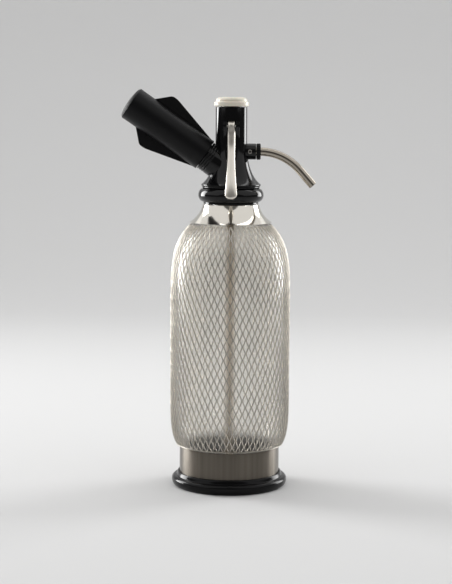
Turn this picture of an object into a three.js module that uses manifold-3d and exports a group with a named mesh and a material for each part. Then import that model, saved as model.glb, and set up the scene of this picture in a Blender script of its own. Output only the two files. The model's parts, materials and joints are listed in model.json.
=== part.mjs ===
// A soda siphon: a mesh-covered glass bottle on a steel foot cup, with a black head that carries a curved
// spout, a squeeze lever with its valve, a screw cap, and a winged holder for the gas charger.
// Millimetres. +Z is up, the spout points along +X, the charger holder leans out along -X and the lever
// faces -Y. The origin is the centre of the flat underside of the base.
import * as THREE from "three";
import { mergeVertices } from "three/addons/utils/BufferGeometryUtils.js";
import Module from "manifold-3d";

const wasm = await Module();
wasm.setup();

// Clearances
const seatGap = 0.3; // between pieces that sit on each other
const turnGap = 0.5; // between pieces that turn or slide past each other
const overrun = 2; // how far a cutting shape runs past what it cuts
const weld = 0.001; // corners nearer than this are one

// Facets round a piece
const bodySides = 28;
const headSides = 28;
const smallSides = 16;
const pinSides = 12;
const threadSides = 3;
const threadStepsPerTurn = 12;
const curveSteps = 5;
const innerCurveSteps = 3;
const roundSteps = 3;
const hexSides = 6;

// Base ring
const baseProud = 0.2; // how far it stands out past the glass
const baseFloor = 3;
const baseHeight = 12;
const baseRimHeight = 8.6;
const baseRimRound = 3.2;
const baseEdge = 1.2;

// Steel foot cup and the cushion in it
const cupInset = 6.5; // how far it stands in from the glass's widest radius
const cupWall = 0.8;
const cupHeight = 31;
const cushionThickness = 2;
const cushionHole = 12;

// Glass bottle
const bodyRadius = 49;
const glassWall = 4;
const glassFloor = 6;
const heelRound = 5;
const heelHeight = 38.1;
const straightHeight = 88;
const shoulderHeight = 63.4;
const shoulderRadius = 31.7;
const neckSlopeHeight = 15.2;
const shelfWidth = 3.2;
const neckRadius = 17.4;
const neckWall = 4.9;
const neckHeight = 17.5;
const neckThreadHeight = 1;
const neckThreadPitch = 4.5;
const neckThreadTurns = 1.5;

// Wire mesh jacket
const meshThickness = 0.9;
const meshGap = 1.1;
const meshColumns = 18;
const meshBodyRows = 8;
const meshShoulderRows = 4;
const meshStart = 3.4;
const meshEndClear = 0.6;
const meshRim = 1.2;
const meshKnotWidth = 1.9;
const meshKnotHeight = 3.4;

// Neck collar
const collarFootProud = 3.1; // past the glass's shoulder
const collarTopProud = 0.6; // past the head's lip
const collarWall = 0.8;
const collarLap = 1.2;

// Riser tube, filling tube and the seals under the head
const riserRadius = 3.5;
const riserBore = 2.5;
const riserFloorClear = 6;
const riserSealWall = 0.9;
const riserSealHeight = 3;
const fillingTubeWall = 0.8;
const fillingTubeLength = 32;
const fillingFlange = 1.2;
const headGasketThickness = 1.7;
const headGasketWidth = 4.4;

// Head
const skirtWall = 3.9; // round the bottle's neck, at the groove
const lipProud = 0.4;
const lipHeight = 1.6;
const bulgeDepth = 4.8;
const bulgeHalfHeight = 5.9;
const ringProud = 1.7;
const ringDepth = 1.2;
const ringHalfHeight = 0.9;
const flareFootProud = 2.4;
const flareFootHeight = 1.2;
const flareHeight = 32;
const towerWall = 1.8; // round the cap's seal
const towerEdge = 0.5;
const riserSocketDepth = 8.7;
const channelRadius = 2;
const channelLength = 7;
const valveBore = 5.5;
const leverChamber = 7.6;
const leverChamberDrop = 5.9;
const capBoreDepth = 8.8;
const capSealWidth = 1.8;
const capSealDepth = 1.9;

// Spout and its boss
const spoutRise = 8.6;
const spoutBossRadius = 6.8;
const spoutBossReach = 7.6;
const spoutRadius = 3.6;
const spoutWall = 0.8;
const spoutStart = 11.5;
const spoutStraight = 24;
const spoutBend = 45;
const spoutBendAngle = THREE.MathUtils.degToRad(49);
const spoutTail = 17;
const spoutSides = 10;
const spoutSteps = 12;
const spoutRingLength = 3.6;
const spoutRingRib = 0.35;
const spoutRingRibs = 24;
const setScrewRadius = 1.9;
const setScrewRecess = 0.8;
const setScrewRecessDepth = 1;
const setScrewBack = 2.4;

// Lever, its pivot and the ears that hold it
const pivotDrop = 15.9;
const pivotReach = 0.9;
const pivotRadius = 1.2;
const leverHeadRadius = 4;
const leverWidth = 6.4;
const leverTipWidth = 10.3;
const leverThickness = 4;
const leverTipRound = 4.6;
const leverTipRise = -1.4;
const leverPress = THREE.MathUtils.degToRad(8);
const leverClear = 0.8;
const leverEdge = 0.8;
const leverWaistDrop = 28;
const forkHeight = 3.4;
const forkReach = 1.8;
const forkSlot = 3.4;
const forkClear = 0.4;
const pocketDrop = 7.4;
const earThickness = 3.3;
const earRadius = 4.2;
const earDrop = 10.5;

// Valve stem, its seals and the return spring
const stemRadius = 1.4;
const stemRodRadius = 2;
const stemFootRadius = 4.6;
const stemFootHeight = 1.4;
const stemReach = 29.9; // from the valve's floor up to the lever's pivot
const stemLandGap = 0.4;
const stemLandHeight = 7.5;
const stemLandClear = 1; // above the spout's bore
const stemGroove = 1.2;
const stemGrooveHeight = 2.2;
const stemCollarRadius = 4.9;
const stemCollarHeight = 2.5;
const springSeatRadius = 3;
const springSeatHeight = 2.2;
const valveSealThickness = 2;
const valveSealRadius = 4.6;
const springRadius = 4.3;
const springWire = 0.6;
const springTurns = 5;
const springSides = 5;
const springStepsPerTurn = 8;

// Cap
const capFlangeProud = 1.4;
const capFlangeHeight = 3.6;
const capTopInset = 1.5;
const capTopHeight = 4.2;
const capCrownWidth = 5;
const capCrownHeight = 2.8;
const capPlugRadius = 8.7;
const capPlugLength = 8;
const capSpringBore = 5.6;
const capSpringDepth = 12.4;
const capThreadHeight = 0.5;
const capThreadPitch = 1.5;
const capThreadTurns = 2.5;

// Charger holder, charger and the gas passage
const holderLean = THREE.MathUtils.degToRad(34.7);
const holderAxisRise = 6;
const holderWall = 2.7;
const holderTaper = 0.7;
const holderEndWall = 2.8;
const holderDome = 2.7;
const holderTowerClear = 0.9;
const bossInset = 1;
const spigotStep = 0.3; // past the charger's chamber
const spigotLength = 11.2;
const spigotThreadHeight = 0.6;
const spigotThreadPitch = 2;
const spigotThreadTurns = 3;
const chargerRadius = 9.1;
const chargerLength = 65.5;
const chargerWall = 1.2;
const chargerNeckRadius = 4.2;
const chargerNeckLength = 6;
const chargerShoulderLength = 9;
const chargerPierceRadius = 1.2;
const chargerTipDepth = 3.8;
const chargerClear = 0.6;
const finLength = 58.5;
const finOffset = 2.6;
const finHeight = 11;
const finThickness = 2.4;
const finPeakShare = 0.815;
const finCrestShare = 0.09;
const pinWellRadius = 5;
const pinSeatThickness = 1.5;
const pinSpikeRadius = 0.8;
const pinSpikeLength = 5.2;
const chargerSealThickness = 1.8;
const valveWellRadius = 3.4;
const valveWellLength = 5;
const checkValveBore = 1;
const gasRadius = 1.2;
const gasOffset = 9.5;

// Shares of the stretch that each curve spans, chosen by eye
const heelCurveShares = [0.75, 0.09, 1, 0.4];
const shoulderCurveShares = [0, 0.58, 0.155, 0.775];
const neckCurveShares = [0.65, 0.375];
const collarCurveShares = [0.5, 0.25, 0.84, 0.52];
const flareCurveShares = [0.48, 0.13, 0.97, 0.44];
const chargerCurveShares = [0.45, 0.1, 1, 0.4];
const leverWatchShares = [0.97, 0];
const knotPitchShare = 0.2;

// Radii that follow from the sizes above
const baseRadius = bodyRadius + baseProud;
const cupRadius = bodyRadius - cupInset;
const footRadius = cupRadius - cupWall - seatGap;
const shelfRadius = neckRadius + shelfWidth;
const neckBore = neckRadius - neckWall;
const skirtBore = neckRadius + neckThreadHeight + turnGap;
const grooveRadius = skirtBore + skirtWall;
const lipRadius = grooveRadius + lipProud;
const bulgeRadius = grooveRadius + bulgeDepth;
const ringRadius = grooveRadius + ringProud;
const flareFootRadius = grooveRadius + flareFootProud;
const collarFootRadius = shoulderRadius + collarFootProud;
const collarTopRadius = lipRadius + collarTopProud;
const capBore = capPlugRadius + capThreadHeight + turnGap;
const capSealBore = capBore + capSealWidth;
const towerRadius = capSealBore + towerWall;
const capFlangeRadius = towerRadius + capFlangeProud;
const capTopRadius = capFlangeRadius - capTopInset;
const stemLandRadius = valveBore - stemLandGap;
const pivotOffset = towerRadius + pivotReach;
const earInner = leverWidth / 2 + forkClear;
const chargerChamber = chargerRadius + chargerClear;
const spigotRadius = chargerChamber + spigotStep;
const holderBore = spigotRadius + spigotThreadHeight + turnGap;
const holderMouthRadius = holderBore + holderWall;
const holderEndRadius = holderMouthRadius + holderTaper;

// Heights that follow from the sizes above
const cupBottom = baseFloor + seatGap;
const cupTop = cupBottom + cupHeight;
const cushionBottom = cupBottom + cupWall + seatGap;
const glassBottom = cushionBottom + cushionThickness + seatGap;
const heelTop = cupTop + heelHeight;
const straightTop = heelTop + straightHeight;
const shoulderTop = straightTop + shoulderHeight;
const shelfTop = shoulderTop + neckSlopeHeight;
const neckTop = shelfTop + neckHeight;
const collarTop = shelfTop + seatGap + collarWall;
const headBottom = collarTop + turnGap;
const flangeBottom = neckTop + seatGap;
const gasketBottom = flangeBottom + fillingFlange + seatGap;
const headSeat = gasketBottom + headGasketThickness + seatGap;
const socketTop = headSeat + riserSocketDepth;
const valveFloor = socketTop + channelLength;
const spoutHeight = valveFloor + spoutRise;
const pivotHeight = valveFloor + stemReach;
const headTop = pivotHeight + pivotDrop;
const leverChamberFloor = pivotHeight - leverChamberDrop;
const capBoreFloor = headTop - capBoreDepth;
const bulgeMiddle = headBottom + lipHeight + bulgeHalfHeight;
const ringMiddle = bulgeMiddle + bulgeHalfHeight + ringHalfHeight;
const flareFoot = ringMiddle + ringHalfHeight;
const flareBottom = flareFoot + flareFootHeight;
const flareTop = flareBottom + flareHeight;
const holderAxisHeight = headSeat + holderAxisRise;
const spoutBossEnd = towerRadius + spoutBossReach;

// Distances out along the holder's axis, from where it crosses the bottle's axis
const mouthAt =
  (towerRadius + holderTowerClear + holderMouthRadius * Math.sin(holderLean)) / Math.cos(holderLean);
const bossEnd = mouthAt - seatGap;
const spigotEnd = bossEnd + spigotLength;
const chargerTip = spigotEnd - chargerTipDepth;
const chargerEnd = chargerTip + chargerLength;
const chargerSealBottom = chargerTip - seatGap - chargerSealThickness;
const pinSeatTop = chargerSealBottom - seatGap;
const pinSeatBottom = pinSeatTop - pinSeatThickness;
const pinWellFloor = pinSeatBottom - seatGap;
const valveWellFloor = pinWellFloor - valveWellLength;
const holderInnerEnd = chargerEnd + seatGap;
const holderShoulder = holderInnerEnd + holderEndWall;

// Materials
const finish = (color, roughness, metalness, opacity = 1) =>
  new THREE.MeshStandardMaterial({ color, roughness, metalness, opacity, transparent: opacity < 1 });
const glossBlack = finish(0x0b0b0c, 0.18, 0);
const satinBlack = finish(0x141414, 0.45, 0);
const brushedSteel = finish(0xb9b7b2, 0.38, 1);
const polishedSteel = finish(0xd8d6d0, 0.12, 1);
const meshSteel = finish(0xc9c6be, 0.3, 1);
const clearGlass = finish(0xdfe8e4, 0.05, 0, 0.35);
const ivory = finish(0xe9e4d2, 0.4, 0);
const natural = finish(0xcfc6b4, 0.5, 0);
const rubber = finish(0x2a2a2a, 0.8, 0);
const brass = finish(0xb5975a, 0.35, 1);

// Solids and geometry

// The solid inside a closed geometry, with its doubled corners merged and its empty faces dropped.
function solid(geometry) {
  const bare = new THREE.BufferGeometry().setAttribute("position", geometry.getAttribute("position"));
  if (geometry.index) bare.setIndex(geometry.index);
  const merged = mergeVertices(bare, weld);
  const corners = merged.index.array;
  const faces = [];
  for (let i = 0; i < corners.length; i += 3) {
    const [a, b, c] = [corners[i], corners[i + 1], corners[i + 2]];
    if (a !== b && b !== c && c !== a) faces.push(a, b, c);
  }
  const vertProperties = merged.attributes.position.array;
  const made = new wasm.Manifold(
    new wasm.Mesh({ numProp: 3, vertProperties, triVerts: new Uint32Array(faces) }),
  );
  if (made.volume() > 0) return made;
  for (let i = 0; i < faces.length; i += 3) [faces[i], faces[i + 1]] = [faces[i + 1], faces[i]];
  return new wasm.Manifold(
    new wasm.Mesh({ numProp: 3, vertProperties, triVerts: new Uint32Array(faces) }),
  );
}

// A named mesh of a solid or a geometry.
function piece(name, shape, material) {
  const held = shape.isBufferGeometry ? solid(shape) : shape;
  const mesh = held.getMesh();
  const points = new Float32Array(mesh.numVert * 3);
  for (let i = 0; i < mesh.numVert; i++) {
    points.set(mesh.vertProperties.subarray(i * mesh.numProp, i * mesh.numProp + 3), i * 3);
  }
  const geometry = new THREE.BufferGeometry()
    .setAttribute("position", new THREE.BufferAttribute(points, 3))
    .setIndex(new THREE.BufferAttribute(mesh.triVerts, 1));
  geometry.computeVertexNormals();
  const made = new THREE.Mesh(geometry, material);
  made.name = name;
  return made;
}

const at = (radius, height) => new THREE.Vector2(radius, height);

// A solid of revolution about Z from a closed outline of [radius, height] points.
function turned(points, sides) {
  const closed = points[0].equals(points[points.length - 1]) ? points : [...points, points[0]];
  return new THREE.LatheGeometry(closed, sides).rotateX(Math.PI / 2);
}

// A straight ring, or a disc where its inner radius is zero.
function ring(outer, inner, bottom, top, sides = smallSides) {
  return turned([at(inner, bottom), at(outer, bottom), at(outer, top), at(inner, top)], sides);
}

// Points of a cubic curve between two outline points; the shares place its two handles in the box they span.
function curve(from, to, shares, steps = curveSteps) {
  const handle = (i) => at(from.x + (to.x - from.x) * shares[i], from.y + (to.y - from.y) * shares[i + 1]);
  return new THREE.CubicBezierCurve(from, handle(0), handle(2), to).getPoints(steps);
}

// Points of an elliptical arc about a centre.
function arc(centre, wide, high, start, end, steps = curveSteps) {
  return new THREE.EllipseCurve(centre.x, centre.y, wide, high, start, end, end < start).getPoints(steps);
}

// An outline in the YZ plane, pushed out along X from one face to the other, with an optional bevel.
function plate(outline, from, to, bevel = 0) {
  const made = new THREE.ExtrudeGeometry(new THREE.Shape(outline), {
    depth: to - from - 2 * bevel,
    bevelEnabled: bevel > 0,
    bevelThickness: bevel,
    bevelSize: bevel,
    bevelOffset: -bevel,
    bevelSegments: 1,
  });
  made.translate(0, 0, from + bevel);
  // The outline's x becomes Y and its y becomes Z, so the depth runs along X.
  return made.applyMatrix4(
    new THREE.Matrix4().makeBasis(
      new THREE.Vector3(0, 1, 0),
      new THREE.Vector3(0, 0, 1),
      new THREE.Vector3(1, 0, 0),
    ),
  );
}

// A right-handed helix that rises about Z.
class Helix extends THREE.Curve {
  constructor(radius, pitch, turns, bottom) {
    super();
    Object.assign(this, { radius, pitch, turns, bottom });
  }

  getPoint(share, target = new THREE.Vector3()) {
    const turned = this.turns * share;
    const angle = 2 * Math.PI * turned;
    return target.set(
      this.radius * Math.cos(angle),
      this.radius * Math.sin(angle),
      this.bottom + this.pitch * turned,
    );
  }
}

// A round wire along a helix.
function wound(path, wire, sides, stepsPerTurn) {
  const section = new THREE.Shape(arc(at(0, 0), wire, wire, 0, 2 * Math.PI, sides).slice(0, sides));
  return new THREE.ExtrudeGeometry(section, {
    extrudePath: path,
    steps: Math.ceil(path.turns * stepsPerTurn),
    bevelEnabled: false,
  });
}

// A thread's ridge about Z.
function thread(radius, height, pitch, turns, bottom) {
  return wound(new Helix(radius, pitch, turns, bottom), height, threadSides, threadStepsPerTurn);
}

// Turns a shape made about Z so that it stands along X, centred on a height.
const alongX = (shape, height) => shape.rotateY(Math.PI / 2).translate(0, 0, height);

// Leans a shape made about Z into the holder's axis.
const leaned = (shape) => shape.rotateY(holderLean - Math.PI / 2).translate(0, 0, holderAxisHeight);

// Bottle

// The glass's outer face from the top of its foot to the foot of its neck.
const heelCurve = () => curve(at(footRadius, cupTop), at(bodyRadius, heelTop), heelCurveShares);
const shoulderCurve = () =>
  curve(at(bodyRadius, straightTop), at(shoulderRadius, shoulderTop), shoulderCurveShares);

function baseRing() {
  const bore = cupRadius + seatGap;
  const roundMiddle = at(baseRadius - baseRimRound, baseRimHeight - baseRimRound);
  const outline = [
    at(0, 0),
    ...arc(roundMiddle, baseRimRound, roundMiddle.y, -Math.PI / 2, 0, roundSteps),
    ...arc(roundMiddle, baseRimRound, baseRimRound, 0, Math.PI / 2, roundSteps).slice(1),
    at((baseRadius - baseRimRound + bore) / 2, (baseRimHeight + baseHeight) / 2),
    at(bore + baseEdge, baseHeight),
    at(bore, baseHeight - baseEdge / 2),
    at(bore, baseFloor),
    at(0, baseFloor),
  ];
  return piece("base_ring", turned(outline, bodySides), glossBlack);
}

function footCup() {
  const outline = [
    at(0, cupBottom),
    at(cupRadius, cupBottom),
    at(cupRadius, cupTop),
    at(cupRadius - cupWall, cupTop),
    at(cupRadius - cupWall, cupBottom + cupWall),
    at(0, cupBottom + cupWall),
  ];
  return piece("foot_cup", turned(outline, bodySides), brushedSteel);
}

function cushion() {
  const shape = ring(
    footRadius - heelRound / 2,
    cushionHole,
    cushionBottom,
    cushionBottom + cushionThickness,
    bodySides,
  );
  return piece("bottle_cushion", shape, rubber);
}

function glassBottle() {
  const neckFoot = at(shelfRadius, shelfTop);
  const outer = [
    at(0, glassBottom),
    ...arc(at(footRadius - heelRound, glassBottom + heelRound), heelRound, heelRound,
      -Math.PI / 2, 0, roundSteps),
    ...heelCurve(),
    ...shoulderCurve(),
    ...new THREE.QuadraticBezierCurve(
      at(shoulderRadius, shoulderTop),
      at(
        shoulderRadius + (shelfRadius - shoulderRadius) * neckCurveShares[0],
        shoulderTop + neckSlopeHeight * neckCurveShares[1],
      ),
      neckFoot,
    ).getPoints(innerCurveSteps).slice(1),
    at(neckRadius, shelfTop),
    at(neckRadius, neckTop),
  ];
  const innerFoot = at(footRadius - glassWall, cupTop);
  const inner = [
    at(neckBore, neckTop),
    at(neckBore, shelfTop - glassWall),
    ...curve(
      at(bodyRadius - glassWall, straightTop),
      at(shoulderRadius - glassWall, shoulderTop - glassWall / 2),
      shoulderCurveShares,
      innerCurveSteps,
    ).reverse(),
    ...curve(innerFoot, at(bodyRadius - glassWall, heelTop), heelCurveShares, innerCurveSteps).reverse(),
    ...arc(
      at(footRadius - glassWall - heelRound, glassBottom + glassFloor + heelRound),
      heelRound, heelRound, 0, -Math.PI / 2, roundSteps,
    ),
    at(0, glassBottom + glassFloor),
  ];
  const ridge = thread(
    neckRadius, neckThreadHeight, neckThreadPitch, neckThreadTurns, shelfTop + neckThreadPitch,
  );
  const body = solid(turned([...outer, ...inner], bodySides));
  return piece("glass_bottle", body.add(solid(ridge)), clearGlass);
}

// A path of straight runs from point to point.
function polyline(points) {
  const path = new THREE.CurvePath();
  points.slice(1).forEach((point, i) => path.add(new THREE.LineCurve(points[i], point)));
  return path;
}

// A sheet that follows the bottle's wall. Each patch has an outer and an inner face, and each opening its walls.
class Sheet {
  constructor(wall) {
    Object.assign(this, { wall, wallLength: wall.getLength(), points: [], faces: [], sides: new Map() });
  }

  // Adds the outer and inner corner at one length along the wall and one angle round it.
  corner(length, angle) {
    const spot = this.wall.getPointAt(length / this.wallLength);
    const run = this.wall.getTangentAt(length / this.wallLength);
    for (const off of [meshGap + meshThickness, meshGap]) {
      const radius = spot.x + run.y * off;
      this.points.push(radius * Math.cos(angle), radius * Math.sin(angle), spot.y - run.x * off);
    }
    return this.points.length / 6 - 1;
  }

  // Adds one patch, seen from outside in anticlockwise order. A side that no other patch shares is left
  // for a wall.
  patch(...loop) {
    for (let k = 1; k < loop.length - 1; k++) {
      this.faces.push(2 * loop[0], 2 * loop[k], 2 * loop[k + 1]);
      this.faces.push(2 * loop[0] + 1, 2 * loop[k + 1] + 1, 2 * loop[k] + 1);
    }
    loop.forEach((a, k) => {
      const b = loop[(k + 1) % loop.length];
      if (!this.sides.delete(`${b},${a}`)) this.sides.set(`${a},${b}`, [a, b]);
    });
  }

  geometry() {
    const walls = [...this.sides.values()].flatMap(([a, b]) => [
      [2 * b, 2 * a, 2 * a + 1],
      [2 * b, 2 * a + 1, 2 * b + 1],
    ]);
    return new THREE.BufferGeometry()
      .setAttribute("position", new THREE.BufferAttribute(new Float32Array(this.points), 3))
      .setIndex([...this.faces, ...walls.flat()]);
  }
}

// The place of each row of knots, as a length up the wall: closer together on the shoulder.
function meshRows(wallLength) {
  const shoulderLength = polyline(shoulderCurve()).getLength();
  const shoulderStart = wallLength - shoulderLength;
  const bodyPitch = (shoulderStart - meshStart) / meshBodyRows;
  const shoulderPitch = (shoulderLength - meshEndClear - meshRim) / meshShoulderRows;
  return [
    ...Array.from({ length: meshBodyRows }, (_, j) => meshStart + meshRim + bodyPitch * j),
    ...Array.from({ length: meshShoulderRows + 1 }, (_, j) => shoulderStart + shoulderPitch * j),
  ];
}

// The corners of one knot, a small diamond. rim is -1 in the lowest row, 1 in the highest and else 0, and
// a knot there has an edge on the rim in place of its lower or upper corner.
function meshKnot(sheet, length, angle, pitch, rim) {
  const radius = sheet.wall.getPointAt(length / sheet.wallLength).x;
  const half = Math.min(meshKnotWidth / 2 / radius, pitch * knotPitchShare);
  const knot = { left: sheet.corner(length, angle - half), right: sheet.corner(length, angle + half) };
  if (rim < 1) knot.top = sheet.corner(length + meshKnotHeight / 2, angle);
  if (rim > -1) knot.bottom = sheet.corner(length - meshKnotHeight / 2, angle);
  if (rim !== 0) {
    knot.edgeLeft = sheet.corner(length + rim * meshRim, angle - half);
    knot.edgeRight = sheet.corner(length + rim * meshRim, angle + half);
  }
  return knot;
}

// Fills one knot and, on a rim, the stretch to the next knot.
function fillKnot(sheet, knot, next, rim) {
  if (rim < 0) {
    sheet.patch(knot.left, knot.edgeLeft, knot.edgeRight, knot.right, knot.top);
    sheet.patch(knot.right, knot.edgeRight, next.edgeLeft, next.left);
  } else if (rim > 0) {
    sheet.patch(knot.right, knot.edgeRight, knot.edgeLeft, knot.left, knot.bottom);
    sheet.patch(knot.right, next.left, next.edgeLeft, knot.edgeRight);
  } else {
    sheet.patch(knot.left, knot.bottom, knot.right, knot.top);
  }
}

// The jacket is one lattice of staggered knots, and two strands rise from each knot to the next row.
function wireMesh() {
  const sheet = new Sheet(polyline([...heelCurve(), ...shoulderCurve()]));
  const rows = meshRows(sheet.wallLength);
  const last = rows.length - 1;
  const rims = rows.map((_, j) => Number(j === last) - Number(j === 0));
  const pitch = (2 * Math.PI) / meshColumns;
  const knots = rows.map((length, j) =>
    Array.from({ length: meshColumns }, (_, i) => (i + (j % 2) / 2) * pitch)
      .map((angle) => meshKnot(sheet, length, angle, pitch, rims[j])),
  );
  knots.forEach((row, j) => row.forEach((knot, i) => {
    fillKnot(sheet, knot, row[(i + 1) % meshColumns], rims[j]);
    if (j === last) return;
    const rightUp = knots[j + 1][(i + (j % 2)) % meshColumns];
    const leftUp = knots[j + 1][(i + (j % 2) - 1 + meshColumns) % meshColumns];
    sheet.patch(knot.top, knot.right, rightUp.bottom, rightUp.left);
    sheet.patch(knot.left, knot.top, leftUp.right, leftUp.bottom);
  }));
  return piece("wire_mesh", sheet.geometry(), meshSteel);
}

function neckCollar() {
  const foot = at(collarFootRadius, shoulderTop + collarLap);
  const head = at(collarTopRadius, collarTop);
  const outer = curve(foot, head, collarCurveShares);
  const inner = curve(
    at(foot.x - collarWall, foot.y),
    at(head.x - collarWall, head.y - collarWall),
    collarCurveShares,
    innerCurveSteps,
  ).reverse();
  const rim = skirtBore;
  const outline = [...outer, at(rim, collarTop), at(rim, collarTop - collarWall), ...inner];
  return piece("neck_collar", turned(outline, bodySides), polishedSteel);
}

// Riser and filling tube

function riserTube() {
  const bottom = glassBottom + glassFloor + riserFloorClear;
  return piece("riser_tube", ring(riserRadius, riserBore, bottom, socketTop - seatGap), natural);
}

function riserSeal() {
  const inner = riserRadius + seatGap;
  const bottom = headSeat + seatGap;
  return piece("riser_seal", ring(inner + riserSealWall, inner, bottom, bottom + riserSealHeight), rubber);
}

function fillingTube() {
  const outer = neckBore - turnGap;
  const inner = outer - fillingTubeWall;
  const rim = neckRadius;
  const outline = [
    at(inner, flangeBottom + fillingFlange - fillingTubeLength),
    at(outer, flangeBottom + fillingFlange - fillingTubeLength),
    at(outer, flangeBottom),
    at(rim, flangeBottom),
    at(rim, flangeBottom + fillingFlange),
    at(inner, flangeBottom + fillingFlange),
  ];
  return piece("filling_tube", turned(outline, smallSides), natural);
}

function headGasket() {
  const top = gasketBottom + headGasketThickness;
  return piece("head_gasket", ring(neckRadius, neckRadius - headGasketWidth, gasketBottom, top), rubber);
}

// Head

const flareCurve = () => curve(at(flareFootRadius, flareBottom), at(towerRadius, flareTop), flareCurveShares);

// The head's widest reach from its axis at a height, which the lever has to clear.
function headReach(height) {
  if (height >= flareTop) return towerRadius;
  if (height < flareBottom) return bulgeRadius;
  const points = flareCurve();
  const above = points.findIndex((point) => point.y >= height);
  const [low, high] = [points[above - 1] ?? points[0], points[above]];
  const share = high.y === low.y ? 0 : (height - low.y) / (high.y - low.y);
  return low.x + (high.x - low.x) * share;
}

// The two ears that hold the lever's pivot, with the tower's front between them.
function ears() {
  const outline = [
    at(0, pivotHeight + earRadius),
    ...arc(at(-pivotOffset, pivotHeight), earRadius, earRadius, Math.PI / 2, Math.PI * 1.15),
    at(-towerRadius + overrun, pivotHeight - earDrop),
    at(0, pivotHeight - earDrop),
  ];
  const outer = earInner + earThickness;
  return [
    solid(plate(outline, earInner, outer, leverEdge)),
    solid(plate(outline, -outer, -earInner, leverEdge)),
  ];
}

// The head's turned shape, before its bosses and bores.
function headShell() {
  const outline = [
    at(0, headBottom),
    at(lipRadius, headBottom),
    at(lipRadius, headBottom + lipHeight),
    ...arc(at(grooveRadius, bulgeMiddle), bulgeDepth, bulgeHalfHeight, -Math.PI / 2, Math.PI / 2),
    ...arc(at(ringRadius - ringDepth, ringMiddle), ringDepth, ringHalfHeight, -Math.PI / 2, Math.PI / 2,
      roundSteps + 1),
    at(flareFootRadius, flareFoot + flareFootHeight / 2),
    ...flareCurve(),
    at(towerRadius, headTop - towerEdge),
    at(towerRadius - towerEdge, headTop),
    at(0, headTop),
  ];
  return solid(turned(outline, headSides));
}

// What stands out from the head: the spout's boss, the holder's boss with its threaded spigot, and the ears.
function headBosses() {
  return [
    solid(alongX(ring(spoutBossRadius, 0, 0, spoutBossEnd), spoutHeight)),
    solid(leaned(ring(holderMouthRadius - bossInset, 0, 0, bossEnd, headSides))),
    solid(leaned(ring(spigotRadius, 0, bossEnd - overrun, spigotEnd))),
    solid(leaned(thread(spigotRadius, spigotThreadHeight, spigotThreadPitch, spigotThreadTurns,
      bossEnd + spigotThreadPitch))),
    ...ears(),
  ];
}

// The bores on the head's own axis, from the skirt up to the cap's seat.
function headBores() {
  const bore = (radius, bottom, top, sides = smallSides) => solid(ring(radius, 0, bottom, top, sides));
  return [
    bore(skirtBore, headBottom - overrun, headSeat, headSides),
    bore(riserRadius + riserSealWall + 2 * seatGap, headSeat - overrun, socketTop),
    bore(channelRadius, socketTop - overrun, valveFloor + overrun, pinSides),
    bore(valveBore, valveFloor, leverChamberFloor + overrun),
    bore(leverChamber, leverChamberFloor, capBoreFloor + overrun),
    bore(capBore, capBoreFloor, headTop + overrun),
    bore(capSealBore, headTop - capSealDepth, headTop + overrun),
  ];
}

// The spout's hole and its set screw's hole.
function spoutHoles() {
  const screwHole = ring(setScrewRadius + seatGap, 0, 0, spoutBossRadius + overrun, pinSides)
    .rotateX(Math.PI / 2)
    .translate(towerRadius + setScrewBack, 0, spoutHeight);
  return [
    solid(alongX(ring(spoutRadius - spoutWall, 0, 0, spoutStart, pinSides), spoutHeight)),
    solid(alongX(ring(spoutRadius + seatGap, 0, spoutStart - seatGap, spoutBossEnd + overrun), spoutHeight)),
    solid(screwHole),
  ];
}

// The wells in the spigot and the passage that takes the gas down into the bottle's neck.
function gasPassage() {
  const bore = (radius, bottom, top) => solid(leaned(ring(radius, 0, bottom, top)));
  const meeting = holderAxisHeight + gasOffset * Math.tan(holderLean);
  const drop = ring(gasRadius, 0, headSeat - overrun, meeting, pinSides);
  return [
    bore(pinWellRadius, pinWellFloor, spigotEnd + overrun),
    bore(valveWellRadius, valveWellFloor, pinWellFloor + overrun),
    bore(gasRadius, gasOffset / Math.cos(holderLean), valveWellFloor + overrun),
    solid(drop).translate([-gasOffset, 0, 0]),
  ];
}

// The slot in the tower's front that the lever's head stands in.
function leverPocket() {
  const front = -pivotOffset - earRadius - overrun;
  const bottom = pivotHeight - pocketDrop;
  const top = pivotHeight + leverHeadRadius + forkClear;
  const outline = [at(0, bottom), at(0, top), at(front, top), at(front, bottom)];
  return solid(plate(outline, -earInner, earInner));
}

// A rod along the lever's pivot.
const pivotRod = (radius, half) =>
  alongX(ring(radius, 0, -half, half, pinSides), 0).translate(0, -pivotOffset, pivotHeight);

function headBody() {
  const pivotHole = solid(pivotRod(pivotRadius + seatGap, earInner + earThickness + overrun));
  const cuts = [...headBores(), ...spoutHoles(), ...gasPassage(), leverPocket(), pivotHole];
  const whole = headBosses().reduce((sum, boss) => sum.add(boss), headShell());
  return piece("head_body", cuts.reduce((rest, cut) => rest.subtract(cut), whole), glossBlack);
}

// Spout

class SpoutCurve extends THREE.Curve {
  // Straight out of the boss, round one bend and on in a straight tail.
  getPoint(share, target = new THREE.Vector3()) {
    const lead = spoutStraight - spoutStart;
    const bend = spoutBend * spoutBendAngle;
    const run = share * (lead + bend + spoutTail);
    if (run <= lead) return target.set(spoutStart + run, 0, spoutHeight);
    const angle = Math.min((run - lead) / spoutBend, spoutBendAngle);
    const left = Math.max(0, run - lead - bend);
    return target.set(
      spoutStraight + spoutBend * Math.sin(angle) + left * Math.cos(angle),
      0,
      spoutHeight - spoutBend * (1 - Math.cos(angle)) - left * Math.sin(angle),
    );
  }
}

function spoutTube() {
  const circle = (radius) => arc(at(0, 0), radius, radius, 0, 2 * Math.PI, spoutSides).slice(0, spoutSides);
  const section = new THREE.Shape(circle(spoutRadius));
  section.holes.push(new THREE.Path(circle(spoutRadius - spoutWall)));
  const tube = new THREE.ExtrudeGeometry(section, {
    extrudePath: new SpoutCurve(),
    steps: spoutSteps,
    bevelEnabled: false,
  });
  return piece("spout_tube", tube, polishedSteel);
}

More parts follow.
